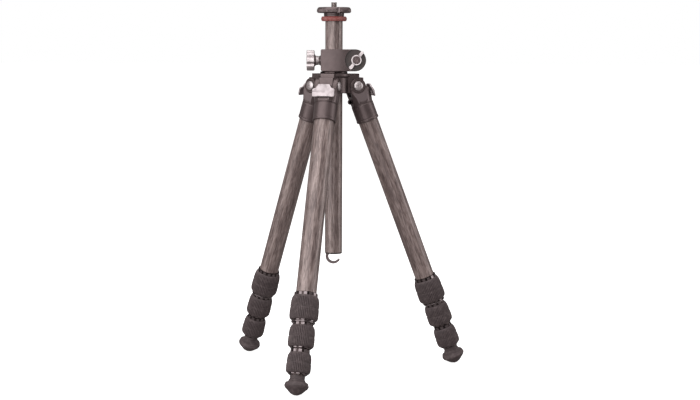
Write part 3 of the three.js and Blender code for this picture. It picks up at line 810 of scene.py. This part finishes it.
def foot_mesh():
    """A round rubber foot with a flared skirt, and the plug that goes up into the last tube."""
    low, high = reach("front_foot", LEG["front"])[2:]
    plug = 9.6
    neck = 11.6
    neck_top = 31.2
    profile = [
        (0, low),
        (4.0, low + 0.3, 3),
        (9.0, low + 2.9, 3),
        (17.5, low + 10.8, 1.6),
        (18.6, low + 13.0, 0.8),
        (18.75, low + 14.2, 0.3),
        (18.45, low + 15.2, 0.3),
        (17.4, low + 18.8, 1.1),
        (13.4, low + 20.9, 1.0),
        (12.5, low + 23.4, 0.5),
        (neck, low + 24.2, 0.3),
        (neck, neck_top, 0.3),
        (plug, neck_top),
        (plug, high, 0.6),
        (0, high),
    ]
    return finished(lathe(profile, 112, steps=5), finish_of("foot_rubber"))


class TRIPOD_OT_feet(bpy.types.Operator):
    """Make the three rubber feet"""

    bl_idname = "tripod.feet"
    bl_label = "Feet"

    def execute(self, context):
        place_on_legs("rubber_foot", foot_mesh(), "section_4", "foot", False)
        return {"FINISHED"}


CUP_RADIUS = 18.25
CUP_BOTTOM = 437
SHOULDER_BOTTOM = 464
FORK_HALF_GAP = 11.6
FORK_FLOOR = 14  # below the hinge
EAR_RADIUS = 12.4
AXLE_BORE = 4.4


def casting_mesh():
    """The casting at the top of a leg: the cup round the tube, the shoulder and the two ears of the hinge."""
    edge = bpy.context.scene.tripod_details.casting_edge / MM
    hinge = (0, HINGE_ALONG)
    flank = SHOULDER_BOTTOM + 2.4
    ears = [(-16.5, flank), (17.6, flank), (17.6, HINGE_ALONG - 11), (EAR_RADIUS, HINGE_ALONG - 3)]
    ears += arc(hinge, EAR_RADIUS, 0, 180, 40)
    ears.append((-15, HINGE_ALONG - 8))
    shoulder = slab(ears, -CUP_RADIUS, CUP_RADIUS)
    # round where it leaves the cup, and wide enough for the whole ears at the hinge
    flare = [(0, flank - 1), (CUP_RADIUS, flank - 1), (CUP_RADIUS, flank + 1, 8)]
    flare += [(22.4, HINGE_ALONG - 10, 10), (24, HINGE_ALONG + 30), (0, HINGE_ALONG + 30)]
    shared(shoulder, lathe(flare, 96, steps=8))
    lip = 0.35
    cup_outline = [
        (0, CUP_BOTTOM),
        (CUP_RADIUS + lip, CUP_BOTTOM, 0.6),
        (CUP_RADIUS + lip, CUP_BOTTOM + 3.4, 0.4),
        (CUP_RADIUS - 0.3, CUP_BOTTOM + 4.0, 0.3),
        (CUP_RADIUS, CUP_BOTTOM + 5.0, 0.3),
        (CUP_RADIUS, SHOULDER_BOTTOM + 0.6, 0.3),
        (CUP_RADIUS - 0.8, SHOULDER_BOTTOM + 1.2),
        (CUP_RADIUS - 0.8, SHOULDER_BOTTOM + 4),
        (0, SHOULDER_BOTTOM + 4),
    ]
    cup = lathe(cup_outline, 112)
    boss_reach = CUP_RADIUS + 0.55
    boss_radius = 11.6
    half_boss = [(boss_radius, boss_reach, 0.5), (0, boss_reach)]
    bosses = lathe([(0, -boss_reach), (boss_radius, -boss_reach, 0.5)] + half_boss, 72)
    # the eyelet clears the column by half a millimetre when the leg is folded
    eyelet_along = 474.6
    eyelet = slab(arc((-17.2, eyelet_along), 4.35, 0, 360, 40)[:-1], -2.2, 2.2)
    joined(shoulder, cup, turn_to(bosses, "y", (0, 0, HINGE_ALONG)), eyelet)
    pocket_half = 8.5
    cap_seat = 8.2
    cut(
        shoulder,
        block((-30, -FORK_HALF_GAP, HINGE_ALONG - FORK_FLOOR), (30, FORK_HALF_GAP, HINGE_ALONG + 30)),
        rod(16.3, CUP_BOTTOM - 1, 462, sides=96),
        rod(AXLE_BORE, -30, 30, "y", (0, 0, HINGE_ALONG)),
        rod(cap_seat, -30, -CUP_RADIUS + 0.1, "y", (0, 0, HINGE_ALONG)),
        rod(cap_seat, CUP_RADIUS - 0.1, 30, "y", (0, 0, HINGE_ALONG)),
        rod(2.1, -10, 10, "y", (-17.9, 0, eyelet_along), 32),
        block((8, -pocket_half, 472.5), (30, pocket_half, 481.9)),
    )
    return finished(edged(shoulder, edge, 3), finish_of("cast_aluminium"))


def hinge_axle_mesh():
    """The hinge's bolt, with a cap nut on each end."""
    inner = CUP_RADIUS + GAP
    outer = inner + 2.6
    cap = 7.55
    axle = 4
    half = [
        (2.6, outer, 1.0),
        (4.8, outer - 0.35, 1.4),
        (6.5, outer - 1.0, 1.2),
        (cap, outer - 1.9, 0.4),
        (cap, inner, 0.15),
        (axle, inner),
    ]
    profile = [(0, -outer)] + [(c[0], -c[1], *c[2:]) for c in half]
    profile += list(reversed(half)) + [(0, outer)]
    bolt = lathe(profile, 72, steps=5)
    socket = 2.0
    tools = []
    for side in (-1, 1):
        hexagon = arc((0, 0), socket, 0, 360, 6)[:-1]
        tools.append(slab(hexagon, side * (outer - 1.8), side * (outer + 1), "z"))
    cut(bolt, *tools)
    return finished(turn_to(bolt, "y", (0, 0, HINGE_ALONG)), finish_of("silver_aluminium"))


TAB_INNER = 20
TAB_OUTER = 23
TAB_BOTTOM = 470.8
TAB_SHOULDER = 485.6
TAB_TOP = 492
TAB_CREASE = 479.7


def tab_mesh():
    """The sliding stop: a winged plate with a crease across it, and the tongue that runs in the casting."""
    half = 18.3
    half_top = 8.7
    right = [
        (half_top + 0.4, TAB_TOP, 1.2),
        (half_top + 4.2, TAB_SHOULDER + 0.4, 1.6),
        (half, TAB_SHOULDER - 1.6, 2.2),
        (half, TAB_BOTTOM, 3.6),
        (9, TAB_BOTTOM + 0.9, 9),
    ]
    left = [(-c[0], *c[1:]) for c in reversed(right)]
    plate = slab(rounded(right + left, True, 6), TAB_INNER, TAB_OUTER)
    # the face leans back a little below the crease
    lean = 1.5
    past = TAB_OUTER + 2
    below = TAB_BOTTOM - 2
    leaning = [(TAB_OUTER, TAB_CREASE), (past, TAB_CREASE), (past, below), (TAB_OUTER - lean, below)]
    wedge = slab(leaning, -30, 30)
    wedge.data.transform(Matrix.Rotation(math.pi / 2, 4, "Z"))
    cut(plate, wedge)
    edged(plate, 0.8, 3, 25)
    plate.data.transform(Matrix.Rotation(-math.pi / 2, 4, "Z"))
    tongue_half = 8
    tongue = block((9, -tongue_half, 473), (TAB_INNER + 1, tongue_half, 481.4))
    joined(plate, edged(tongue, 0.4, 2))
    return finished(plate, finish_of("blasted_aluminium"), 30)


class TRIPOD_OT_leg_heads(bpy.types.Operator):
    """Make the castings, hinge bolts and angle tabs at the top of the legs"""

    bl_idname = "tripod.leg_heads"
    bl_label = "Leg castings"

    def execute(self, context):
        place_on_legs("hinge_casting", casting_mesh(), "leg", "leg_casting")
        place_on_legs("hinge_bolt", hinge_axle_mesh(), "leg", "hinge_axle")
        place_on_legs("stop_tab", tab_mesh(), "tab", "angle_tab")
        return {"FINISHED"}


# ---- centre pieces ----

SPIDER_TOP = 483.6
HUB_BOTTOM = 452
COLUMN_BORE = 14.6


def spider_mesh():
    """The shoulder piece: a hub round the column, three lugs with a stop step, and a flange on top."""
    edge = bpy.context.scene.tripod_details.casting_edge / MM
    hub_radius = 23
    lug_end = 12.2
    lug_half = 11.2
    step_x = HINGE_RADIUS + 10.5
    end_angle = math.degrees(math.acos(10.5 / lug_end))
    outline = [(hub_radius - 6, HINGE_Z - lug_end)]
    outline += arc((HINGE_RADIUS, HINGE_Z), lug_end, -90, end_angle, 30)
    outline += [
        (step_x, HINGE_Z + 13.6),
        (HINGE_RADIUS + 3.6, HINGE_Z + 13.6),
        (HINGE_RADIUS + 3.6, SPIDER_TOP),
        (hub_radius - 6, SPIDER_TOP),
    ]
    hub_outline = [
        (0, HUB_BOTTOM),
        (hub_radius, HUB_BOTTOM, 1.6),
        (hub_radius, 477, 1.5),
        (hub_radius + 3, 479.4, 0.6),
        (hub_radius + 3, SPIDER_TOP, 1.0),
        (0, SPIDER_TOP),
    ]
    hub = lathe(hub_outline, 120, steps=4)
    lugs = []
    cuts = [rod(COLUMN_BORE, HUB_BOTTOM - 1, SPIDER_TOP + 1, sides=96)]
    for side in SIDES:
        outward = LEG[side].col[0].xyz
        swing = Matrix.Rotation(math.atan2(outward.y, outward.x), 4, "Z")
        lug = slab(outline, -lug_half, lug_half)
        bore = rod(AXLE_BORE, -30, 30, "y", (HINGE_RADIUS, 0, HINGE_Z))
        # a pocket under each lug, as a casting has to keep its walls even
        pocket_half = lug_half - 3.2
        pocket = block(
            (hub_radius + 1.5, -pocket_half, HINGE_Z - 20), (HINGE_RADIUS - 6, pocket_half, HINGE_Z - 3)
        )
        for tool in (lug, bore, pocket):
            tool.data.transform(swing)
        lugs.append(lug)
        cuts += [bore, pocket]
    joined(hub, *lugs)
    cut(hub, *cuts)
    return finished(edged(hub, edge, 3), finish_of("cast_aluminium"))


def pan_ring_mesh():
    """The turned ring that the clamp block turns on."""
    profile = [
        (COLUMN_BORE, SPIDER_TOP + GAP, 0.3),
        (22, SPIDER_TOP + GAP, 0.5),
        (22, BLOCK_BOTTOM - GAP, 0.9),
        (17.5, BLOCK_BOTTOM - GAP),
        (17.5, BLOCK_BOTTOM + 4, 0.4),
        (COLUMN_BORE, BLOCK_BOTTOM + 4, 0.4),
    ]
    return finished(lathe(profile, 120, True), finish_of("polished_aluminium"))


class TRIPOD_OT_spider(bpy.types.Operator):
    """Make the shoulder piece that the legs hinge on, and the ring on top of it"""

    bl_idname = "tripod.spider"
    bl_label = "Shoulder piece"

    def execute(self, context):
        place_piece("shoulder_casting", spider_mesh(), CENTRE, "root", ["spider"])
        place_piece("turning_ring", pan_ring_mesh(), CENTRE, "root", ["pan_ring"])
        return {"FINISHED"}


BLOCK_LEFT = -21.2
BLOCK_HALF_DEPTH = 19.5
BLOCK_END_X = 34  # centre of the half-round end
KNOB_Z = 504.4
LEVER_X = 36.2
LEVER_Z = 505.2
RECESS_DEPTH = 4.6


def block_mesh():
    """The clamp block: a slightly crowned body round the column, with a half-round end and a recess."""
    middle = (BLOCK_TOP + BLOCK_BOTTOM) / 2
    end_radius = (BLOCK_TOP - BLOCK_BOTTOM) / 2
    left = [(0, BLOCK_TOP), (BLOCK_LEFT, BLOCK_TOP, 2.6), (BLOCK_LEFT, BLOCK_BOTTOM, 3.6), (0, BLOCK_BOTTOM)]
    outline = rounded(left, False, 5) + arc((BLOCK_END_X, middle), end_radius, -90, 90, 48)
    body = slab(outline, -BLOCK_HALF_DEPTH, BLOCK_HALF_DEPTH)
    # seen from above, the front and back bow out a little over the column
    bow = 2.2
    reach_x = 24
    front = []
    for k in range(25):
        x = BLOCK_LEFT - 0.5 + (reach_x - BLOCK_LEFT + 0.5) * k / 24
        front.append((x, -BLOCK_HALF_DEPTH + bow * (x / reach_x) ** 2))
    front += [(60, -BLOCK_HALF_DEPTH + bow), (60, BLOCK_HALF_DEPTH - bow)]
    back = [(x, -y) for x, y in reversed(front[:25])]
    shared(body, slab(front + back, BLOCK_BOTTOM - 1, BLOCK_TOP + 1, "z"))
    edged(body, 0.9, 3)
    boss = [(0, -24.2), (6.9, -24.2, 0.5), (8.6, BLOCK_LEFT + 0.2), (8.6, -18), (0, -18)]
    joined(body, turn_to(lathe(boss, 64), "x", (0, 0, KNOB_Z)))
    face = -BLOCK_HALF_DEPTH
    cut(
        body,
        rod(COLUMN_BORE - 0.2, BLOCK_BOTTOM - 1, BLOCK_TOP + 1, sides=96),
        rod(17.9, BLOCK_BOTTOM - 1, BLOCK_BOTTOM + 4.4, sides=96),
        rod(4.3, -30, -10, "x", (0, 0, KNOB_Z)),
        rod(6, BLOCK_LEFT + 1, -10, "x", (0, 0, KNOB_Z)),
        rod(18.4, face - 1, face + RECESS_DEPTH, "y", (LEVER_X, 0, LEVER_Z), 128),
        rod(3.4, face - 1, face + 20, "y", (LEVER_X, 0, LEVER_Z)),
    )

    def in_painted_shade_recess(middle):
        inside = math.hypot(middle.x - LEVER_X, middle.z - LEVER_Z) < 18.3
        return inside and abs(middle.y - face - RECESS_DEPTH) < 0.3

    # painted shade: the recess floor takes the near-black nylon finish where the shade falls in the recess
    return finished(edged(body, 0.25, 2), finish_of("cast_aluminium"), 38, finish_of("nylon"), in_painted_shade_recess)


def knob_mesh():
    """The lobed clamp knob: deep flutes with chamfered ends, a dished face and a neck."""
    lobes = bpy.context.scene.tripod_details.knob_lobes
    outer = -44
    inner = -31.2
    full = 16.4
    flute = 2.6
    flute_floor = 12.5

    def lobed(radius, height, turn):
        if radius < flute_floor:
            return radius
        # a lobe faces up, and the narrow flutes lie between the lobes
        hollow = abs(math.sin(lobes * turn / 2)) ** 6
        return radius - flute * hollow * min(1.0, (radius - flute_floor) / 2.5)

    profile = [
        (0, outer + 1.2),
        (6.4, outer + 1.2, 0.5),
        (8.2, outer, 0.5),
        (15.5, outer, 0.4),
        (full, outer + 0.9, 0.5),
        (full, inner - 0.9, 0.5),
        (15.5, inner, 0.4),
        (10.4, inner, 0.8),
        (7.6, inner + 2.2, 1.2),
        (7.2, BLOCK_LEFT - 3.3, 0.3),
        (4.2, BLOCK_LEFT - 3.3, 0.2),
        (4.2, -37),
        (0, -37),
    ]
    knob = lathe(profile, lobes * 20, False, 4, lobed)
    return finished(turn_to(knob, "x", (0, 0, KNOB_Z)), finish_of("silver_aluminium"), 30)


def lever_mesh():
    """The small lever: a ring with a rounded thumb end below and a tapered tip above."""
    edge = bpy.context.scene.tripod_details.machined_edge / MM
    low = -BLOCK_HALF_DEPTH - 0.4
    high = -BLOCK_HALF_DEPTH + RECESS_DEPTH - 0.4
    half = 14.6
    arm = arc((-half, 0), 3.1, 60, 300, 20) + [(-7, -2.2), (7, -2.3)]
    arm += arc((half, 0), 2.6, -90, 90, 16) + [(7, 2.3), (-7, 2.2)]
    bar = slab(arm, low, high)
    hub = turned([(0, low), (8.3, low), (8.3, high), (0, high)], 72)
    joined(bar, turn_to(hub, "y"))
    cut(bar, rod(6.3, low - 1, high + 1, "y"))
    edged(bar, edge, 3)
    bar.data.transform(Matrix.Translation((LEVER_X, 0, LEVER_Z)) @ Matrix.Rotation(-math.radians(53), 4, "Y"))
    return finished(bar, finish_of("silver_aluminium"), 30)


def lever_screw_mesh():
    """The screw that holds the lever, its head turned in rings."""
    face = BLOCK_HALF_DEPTH
    rings = [(0, face - 0.5), (1.4, face - 0.5, 0.2), (1.8, face - 0.1, 0.2), (3.0, face - 0.1, 0.2)]
    rings += [(3.3, face - 0.5, 0.2), (4.2, face - 0.5, 0.2), (4.6, face + 0.2, 0.2), (5.9, face + 0.2, 0.4)]
    seat = face - RECESS_DEPTH + 0.4
    rings += [(5.9, seat, 0.2), (3, seat), (3, face - 18), (0, face - 18)]
    screw = lathe(rings, 64)
    screw.data.transform(Matrix.Scale(-1, 4, (0, 0, 1)))
    screw.data.flip_normals()
    return finished(turn_to(screw, "y", (LEVER_X, 0, LEVER_Z)), finish_of("cast_aluminium"), 30)


class TRIPOD_OT_clamp(bpy.types.Operator):
    """Make the column clamp: block, knob, lever and the lever's screw"""

    bl_idname = "tripod.clamp"
    bl_label = "Column clamp"

    def execute(self, context):
        made = (
            ("clamp_body", block_mesh(), "clamp_block", "cast_aluminium", "column_clamp_block"),
            ("lobed_knob", knob_mesh(), "clamp_knob", "silver_aluminium", "clamp_knob"),
            ("thumb_lever", lever_mesh(), "tilt_lever", "silver_aluminium", "tilt_lever"),
            ("lever_pivot", lever_screw_mesh(), "tilt_lever", "cast_aluminium", "lever_screw"),
        )
        for name, mesh, body, slot, node in made:
            place_piece(name, mesh, CENTRE, body, [node])
        return {"FINISHED"}


COLUMN_TOP = 575
PLATFORM_BOTTOM = 580.6
PLATFORM_TOP = 589.6
PLATFORM_RADIUS = 27.5
STUD_RADIUS = 4.76
STUD_TOP = 597.6


def column_tube_mesh():
    inner, outer, low, high = reach("column_tube", CENTRE)
    rim = 0.3
    corners = [(inner, low, rim), (outer, low, rim), (outer, high, rim), (inner, high, rim)]
    return finished(lathe(corners, 128, True), finish_of("carbon_tube"))


def column_head_mesh():
    """The neck under the platform, with a clamping slit, and the plug that is bonded into the column."""
    plug = 11.9
    neck = 16.3
    bore = STUD_RADIUS + GAP
    profile = [
        (0, 550),
        (plug, 550, 0.5),
        (plug, COLUMN_TOP + GAP),
        (neck, COLUMN_TOP + GAP, 0.5),
        (neck, COLUMN_TOP + 2.2, 0.2),
        (neck - 0.5, COLUMN_TOP + 2.5),
        (neck, COLUMN_TOP + 2.8, 0.2),
        (neck, PLATFORM_BOTTOM - GAP, 0.4),
        (bore, PLATFORM_BOTTOM - GAP, 0.2),
        (bore, 566),
        (0, 566),
    ]
    head = lathe(profile, 112)
    slit = block((11.9, -0.8, COLUMN_TOP), (20, 0.8, PLATFORM_BOTTOM + 1))
    slit.data.transform(Matrix.Rotation(math.radians(-52), 4, "Z"))
    cut(head, slit)
    return finished(head, finish_of("cast_aluminium"), 30)


def shock_ring_mesh():
    """The soft ring that keeps the platform off the clamp block."""
    inner = 14.3
    low = 567.5
    high = 574.9
    shoulder = 19.6
    profile = [
        (inner, low, 0.6),
        (shoulder, low, 1.6),
        (20.9, 571.2, 3.0),
        (shoulder, high, 1.6),
        (inner, high, 0.6),
    ]
    return finished(lathe(profile, 112, True, 5), finish_of("shock_rubber"))


def platform_mesh():
    """The camera platform: a knurled rim with three finger notches and anti-slip rings on top."""
    knurls = bpy.context.scene.tripod_details.knurl_count
    bore = STUD_RADIUS + GAP
    low = PLATFORM_BOTTOM
    high = PLATFORM_TOP
    corners = [
        (bore, low),
        (PLATFORM_RADIUS - 1.8, low, 0.6),
        (PLATFORM_RADIUS - 0.4, low + 1.2, 0.3),
        (PLATFORM_RADIUS, low + 1.7),
        (PLATFORM_RADIUS, low + 3.6),
        (PLATFORM_RADIUS, low + 5.2),
        (PLATFORM_RADIUS - 0.4, low + 5.7, 0.3),
        (PLATFORM_RADIUS - 0.5, high - 2.4, 0.6),
        (PLATFORM_RADIUS - 2.6, high, 0.5),
    ]
    groove_pitch = 3.4
    for groove in range(5):
        r = PLATFORM_RADIUS - 5 - groove * groove_pitch
        corners += [(r, high), (r - 0.5, high - 0.5), (r - 1.0, high)]
    corners.append((bore, high))

    def knurled(radius, height, turn):
        if radius < PLATFORM_RADIUS - 0.01:
            return radius
        return radius - 0.35 * (0.5 + 0.5 * math.cos(knurls * turn))

    plate = lathe(corners, knurls * 6, True, 3, knurled)
    notches = []
    for azimuth in (-75, 45, 165):
        notch = rod(3.2, low - 1, high + 1, sides=40)
        centre = Matrix.Translation((PLATFORM_RADIUS + 0.9, 0, 0))
        notch.data.transform(Matrix.Rotation(math.radians(azimuth), 4, "Z") @ centre)
        notches.append(notch)
    cut(plate, *notches)
    return finished(plate, finish_of("cast_aluminium"), 30)


def stud_mesh():
    """The 3/8 inch camera stud, with its thread cut on the length that shows."""
    pitch = bpy.context.scene.tripod_details.thread_pitch / MM
    depth = 0.62 * pitch
    start = PLATFORM_TOP - 1
    end = STUD_TOP - 0.9
    steps = int((end - start) / (pitch / 10))

    def threaded(radius, height, turn):
        if radius < STUD_RADIUS - 0.01 or not start < height < end:
            return radius
        phase = (height / pitch - turn / (2 * math.pi)) % 1.0
        ridge = abs(2 * phase - 1)
        fade = min(1.0, (height - start) / 0.8, (end - height) / 0.5)
        return radius - depth * fade * max(0.0, min(1.0, 1.25 * ridge - 0.12))

    profile = [(0, 566.3), (STUD_RADIUS, 566.3)]
    profile += [(STUD_RADIUS, start + (end - start) * k / steps) for k in range(steps + 1)]
    profile += [(STUD_RADIUS - 0.9, STUD_TOP), (1.6, STUD_TOP), (1.2, STUD_TOP - 0.6), (0, STUD_TOP - 0.6)]
    return finished(turned(profile, 64, False, threaded), finish_of("steel"), 50)


class TRIPOD_OT_column(bpy.types.Operator):
    """Make the centre column with its head, shock ring, platform and stud"""

    bl_idname = "tripod.column"
    bl_label = "Centre column"

    def execute(self, context):
        made = (
            ("centre_tube", column_tube_mesh(), "carbon_tube", "column_tube"),
            ("column_neck", column_head_mesh(), "cast_aluminium", "column_head"),
            ("red_ring", shock_ring_mesh(), "shock_rubber", "shock_ring"),
            ("knurled_platform", platform_mesh(), "cast_aluminium", "camera_platform"),
            ("threaded_stud", stud_mesh(), "steel", "camera_stud"),
        )
        for name, mesh, slot, node in made:
            place_piece(name, mesh, CENTRE, "column", [node])
        return {"FINISHED"}


def end_cap_mesh():
    """The moulded plug in the column's lower end, bored for the hook's spring and slotted for the hook."""
    outer = 14
    plug = 11.9
    profile = [
        (0, 191.3),
        (outer, 191.3, 0.9),
        (outer, 193.3, 0.2),
        (plug, 193.3),
        (plug, 224, 0.8),
        (0, 224),
    ]
    cap = lathe(profile, 96)
    slot = block((-20, -2.9, 190), (2.9, 2.9, 200.4))
    cut(cap, rod(2.6, 190, 230), rod(7, 204, 230), slot)
    return finished(edged(cap, 0.2, 2), finish_of("nylon"))


def hook_mesh():
    """The spring-loaded hook: a C of flat band that thins to its tip, a shank and a head."""
    centre_z = 187
    middle = 10.5
    tip = 333
    steps = 56
    bm = bmesh.new()
    rows = []
    for k in range(steps + 1):
        t = k / steps
        turn = math.radians(90 + (tip - 90) * t)
        thick = 2.5 - 0.9 * t**2
        wide = 2.5 - 0.5 * t**3
        if k == steps:
            thick *= 0.6
            wide *= 0.6
        bevel = 0.55
        flat = wide - bevel
        section = [(thick - bevel, -wide), (thick, -flat), (thick, flat), (thick - bevel, wide)]
        section += [(-a, -b) for a, b in section]
        row = []
        for out, across in section:
            r = middle + out
            row.append(bm.verts.new((r * math.cos(turn), across, centre_z + r * math.sin(turn))))
        rows.append(row)
    for low, high in zip(rows, rows[1:]):
        for i in range(8):
            j = (i + 1) % 8
            bm.faces.new((low[i], low[j], high[j], high[i]))
    bm.faces.new(rows[0])
    bm.faces.new(rows[-1])
    hook = working(bm)
    shank = rod(2, centre_z + middle - 0.5, 219, sides=32)
    head = lathe([(0, 218), (5.6, 218, 0.4), (5.6, 220.6, 0.6), (0, 220.6)], 48)
    joined(hook, shank, head)
    return finished(hook, finish_of("cast_aluminium"), 40)


class TRIPOD_OT_hook(bpy.types.Operator):
    """Make the column's end cap and the ballast hook"""

    bl_idname = "tripod.hook"
    bl_label = "End cap and hook"

    def execute(self, context):
        place_piece("column_plug", end_cap_mesh(), CENTRE, "column", ["column_end_cap"])
        place_piece("bag_hook", hook_mesh(), CENTRE, "hook", ["ballast_hook"])
        return {"FINISHED"}


class TRIPOD_OT_kept_pieces(bpy.types.Operator):
    """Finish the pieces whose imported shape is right: the clamp's screw and shoe, and the hook's spring"""

    bl_idname = "tripod.kept_pieces"
    bl_label = "Screw, shoe and spring"

    def execute(self, context):
        for node, slot in (("clamp_screw", "steel"), ("clamp_shoe", "nylon"), ("hook_spring", "steel")):
            mesh = frame["nodes"][node].data
            mesh.materials.clear()
            mesh.materials.append(finish_of(slot))
        return {"FINISHED"}


# ---- studio ----

def add_softbox(name, target, azimuth, elevation, distance, width, height, power):
    """A soft lamp aimed at a point, from so many degrees left of the camera's side and above level."""
    data = bpy.data.lights.new(name, "AREA")
    data.shape = "RECTANGLE"
    data.size = width
    data.size_y = height
    data.energy = power
    lamp = bpy.data.objects.new(name, data)
    a = math.radians(azimuth)
    e = math.radians(elevation)
    away = Vector((-math.sin(a) * math.cos(e), -math.cos(a) * math.cos(e), math.sin(e)))
    lamp.location = target + away * distance
    lamp.rotation_mode = "QUATERNION"
    lamp.rotation_quaternion = (-away).to_track_quat("-Z", "Y")
    lamp.visible_camera = False
    bpy.context.scene.collection.objects.link(lamp)


def add_floor(finish_colour):
    """A wide pale floor, lit evenly enough to run into the white surround."""
    bm = bmesh.new()
    rim = 60.0
    bmesh.ops.create_circle(bm, cap_ends=True, segments=96, radius=rim)
    floor = working(bm)
    floor.name = "floor"
    made, tree, shader, where = new_material("painted studio floor")
    patches = grain(tree, where, (400, 400, 400), 2)
    shade(
        shader,
        Base_Color=mixed(tree, ranged(tree, patches, 0.3, 0.7, 0.0, 0.3), finish_colour, linear("#f6f5f5")),
        Roughness=0.9,
        Emission_Color=linear("#ffffff"),
        Emission_Strength=0.92,
    )
    floor.data.materials.append(made)
    floor.visible_diffuse = False
    floor.visible_glossy = False


def add_surround(walls):
    """White to the eye, and dimmer to what the metal mirrors and what lights the tripod."""
    world = bpy.data.worlds.new("studio")
    world.use_nodes = True
    tree = world.node_tree
    tree.nodes.clear()
    seen = add_node(tree, "ShaderNodeLightPath").outputs["Is Camera Ray"]
    white = add_node(tree, "ShaderNodeBackground", None, {"Color": linear("#ffffff"), "Strength": 1.0})
    dim = add_node(tree, "ShaderNodeBackground", None, {"Color": walls, "Strength": 1.0})
    mix = add_node(tree, "ShaderNodeMixShader", None, {0: seen, 1: dim.outputs[0], 2: white.outputs[0]})
    add_node(tree, "ShaderNodeOutputWorld", None, {"Surface": mix.outputs[0]})
    bpy.context.scene.world = world


def add_camera(studio):
    """The camera, level with the column's upper half and looking slightly down."""
    data = bpy.data.cameras.new("camera")
    data.lens = studio.lens
    data.sensor_width = 36
    data.clip_end = 100
    camera = bpy.data.objects.new("camera", data)
    column = CENTRE.translation
    forward = Vector(
        (
            math.sin(studio.yaw) * math.cos(studio.pitch),
            math.cos(studio.yaw) * math.cos(studio.pitch),
            -math.sin(studio.pitch),
        )
    )
    level = Vector((math.cos(studio.yaw), -math.sin(studio.yaw), 0))
    up = level.cross(forward)
    right = level * math.cos(studio.roll) + up * math.sin(studio.roll)
    above = up * math.cos(studio.roll) - level * math.sin(studio.roll)
    turn = Matrix((right, above, -forward)).transposed().to_4x4()
    spot = Vector((column.x, column.y - studio.distance, studio.height))
    camera.matrix_world = Matrix.Translation(spot) @ turn
    bpy.context.scene.collection.objects.link(camera)
    bpy.context.scene.camera = camera


# name, azimuth and elevation in degrees, distance, width and height in metres, power in watts
SOFTBOXES = (
    ("key softbox", 37, 13, 3.0, 5.6, 3.6, 126),
    ("right softbox", -88, 8, 2.6, 1.4, 2.6, 18),
    ("overhead softbox", 10, 80, 2.4, 2.6, 2.6, 40),
)


class TRIPOD_OT_studio(bpy.types.Operator):
    """Make the camera, the floor, the surround and the lamps"""

    bl_idname = "tripod.studio"
    bl_label = "Studio"

    def execute(self, context):
        studio = context.scene.tripod_studio
        add_camera(studio)
        add_floor(list(studio.floor))
        add_surround(list(studio.surround))
        middle = Vector((0, 0, 0.32))
        for name, azimuth, elevation, distance, width, height, power in SOFTBOXES:
            add_softbox(name, middle, azimuth, elevation, distance, width, height, power)
        context.scene.view_settings.view_transform = "Standard"
        return {"FINISHED"}


# ---- the add-on ----

STEPS = (
    TRIPOD_OT_studio,
    TRIPOD_OT_tubes,
    TRIPOD_OT_locks,
    TRIPOD_OT_feet,
    TRIPOD_OT_leg_heads,
    TRIPOD_OT_spider,
    TRIPOD_OT_clamp,
    TRIPOD_OT_column,
    TRIPOD_OT_hook,
    TRIPOD_OT_kept_pieces,
)
GROUPS = {"tripod_finishes": TripodFinishes, "tripod_details": TripodDetails, "tripod_studio": TripodStudio}


class TRIPOD_PT_panel(bpy.types.Panel):
    """The tripod's steps and settings"""

    bl_idname = "TRIPOD_PT_panel"
    bl_label = "Tripod"
    bl_space_type = "VIEW_3D"
    bl_region_type = "UI"
    bl_category = "Tripod"

    def draw(self, context):
        for step in STEPS:
            self.layout.operator(step.bl_idname)
        for group in GROUPS:
            box = self.layout.box()
            settings = getattr(context.scene, group)
            for name in settings.__annotations__:
                box.prop(settings, name)


def register():
    for group, kind in GROUPS.items():
        bpy.utils.register_class(kind)
        setattr(bpy.types.Scene, group, bpy.props.PointerProperty(type=kind))
    for step in (*STEPS, TRIPOD_PT_panel):
        bpy.utils.register_class(step)


def unregister():
    for step in (TRIPOD_PT_panel, *reversed(STEPS)):
        bpy.utils.unregister_class(step)
    for group, kind in GROUPS.items():
        delattr(bpy.types.Scene, group)
        bpy.utils.unregister_class(kind)


def main():
    register()
    for step in STEPS:
        name = step.bl_idname.split(".")[1]
        getattr(bpy.ops.tripod, name)()


if __name__ == "__main__":
    main()
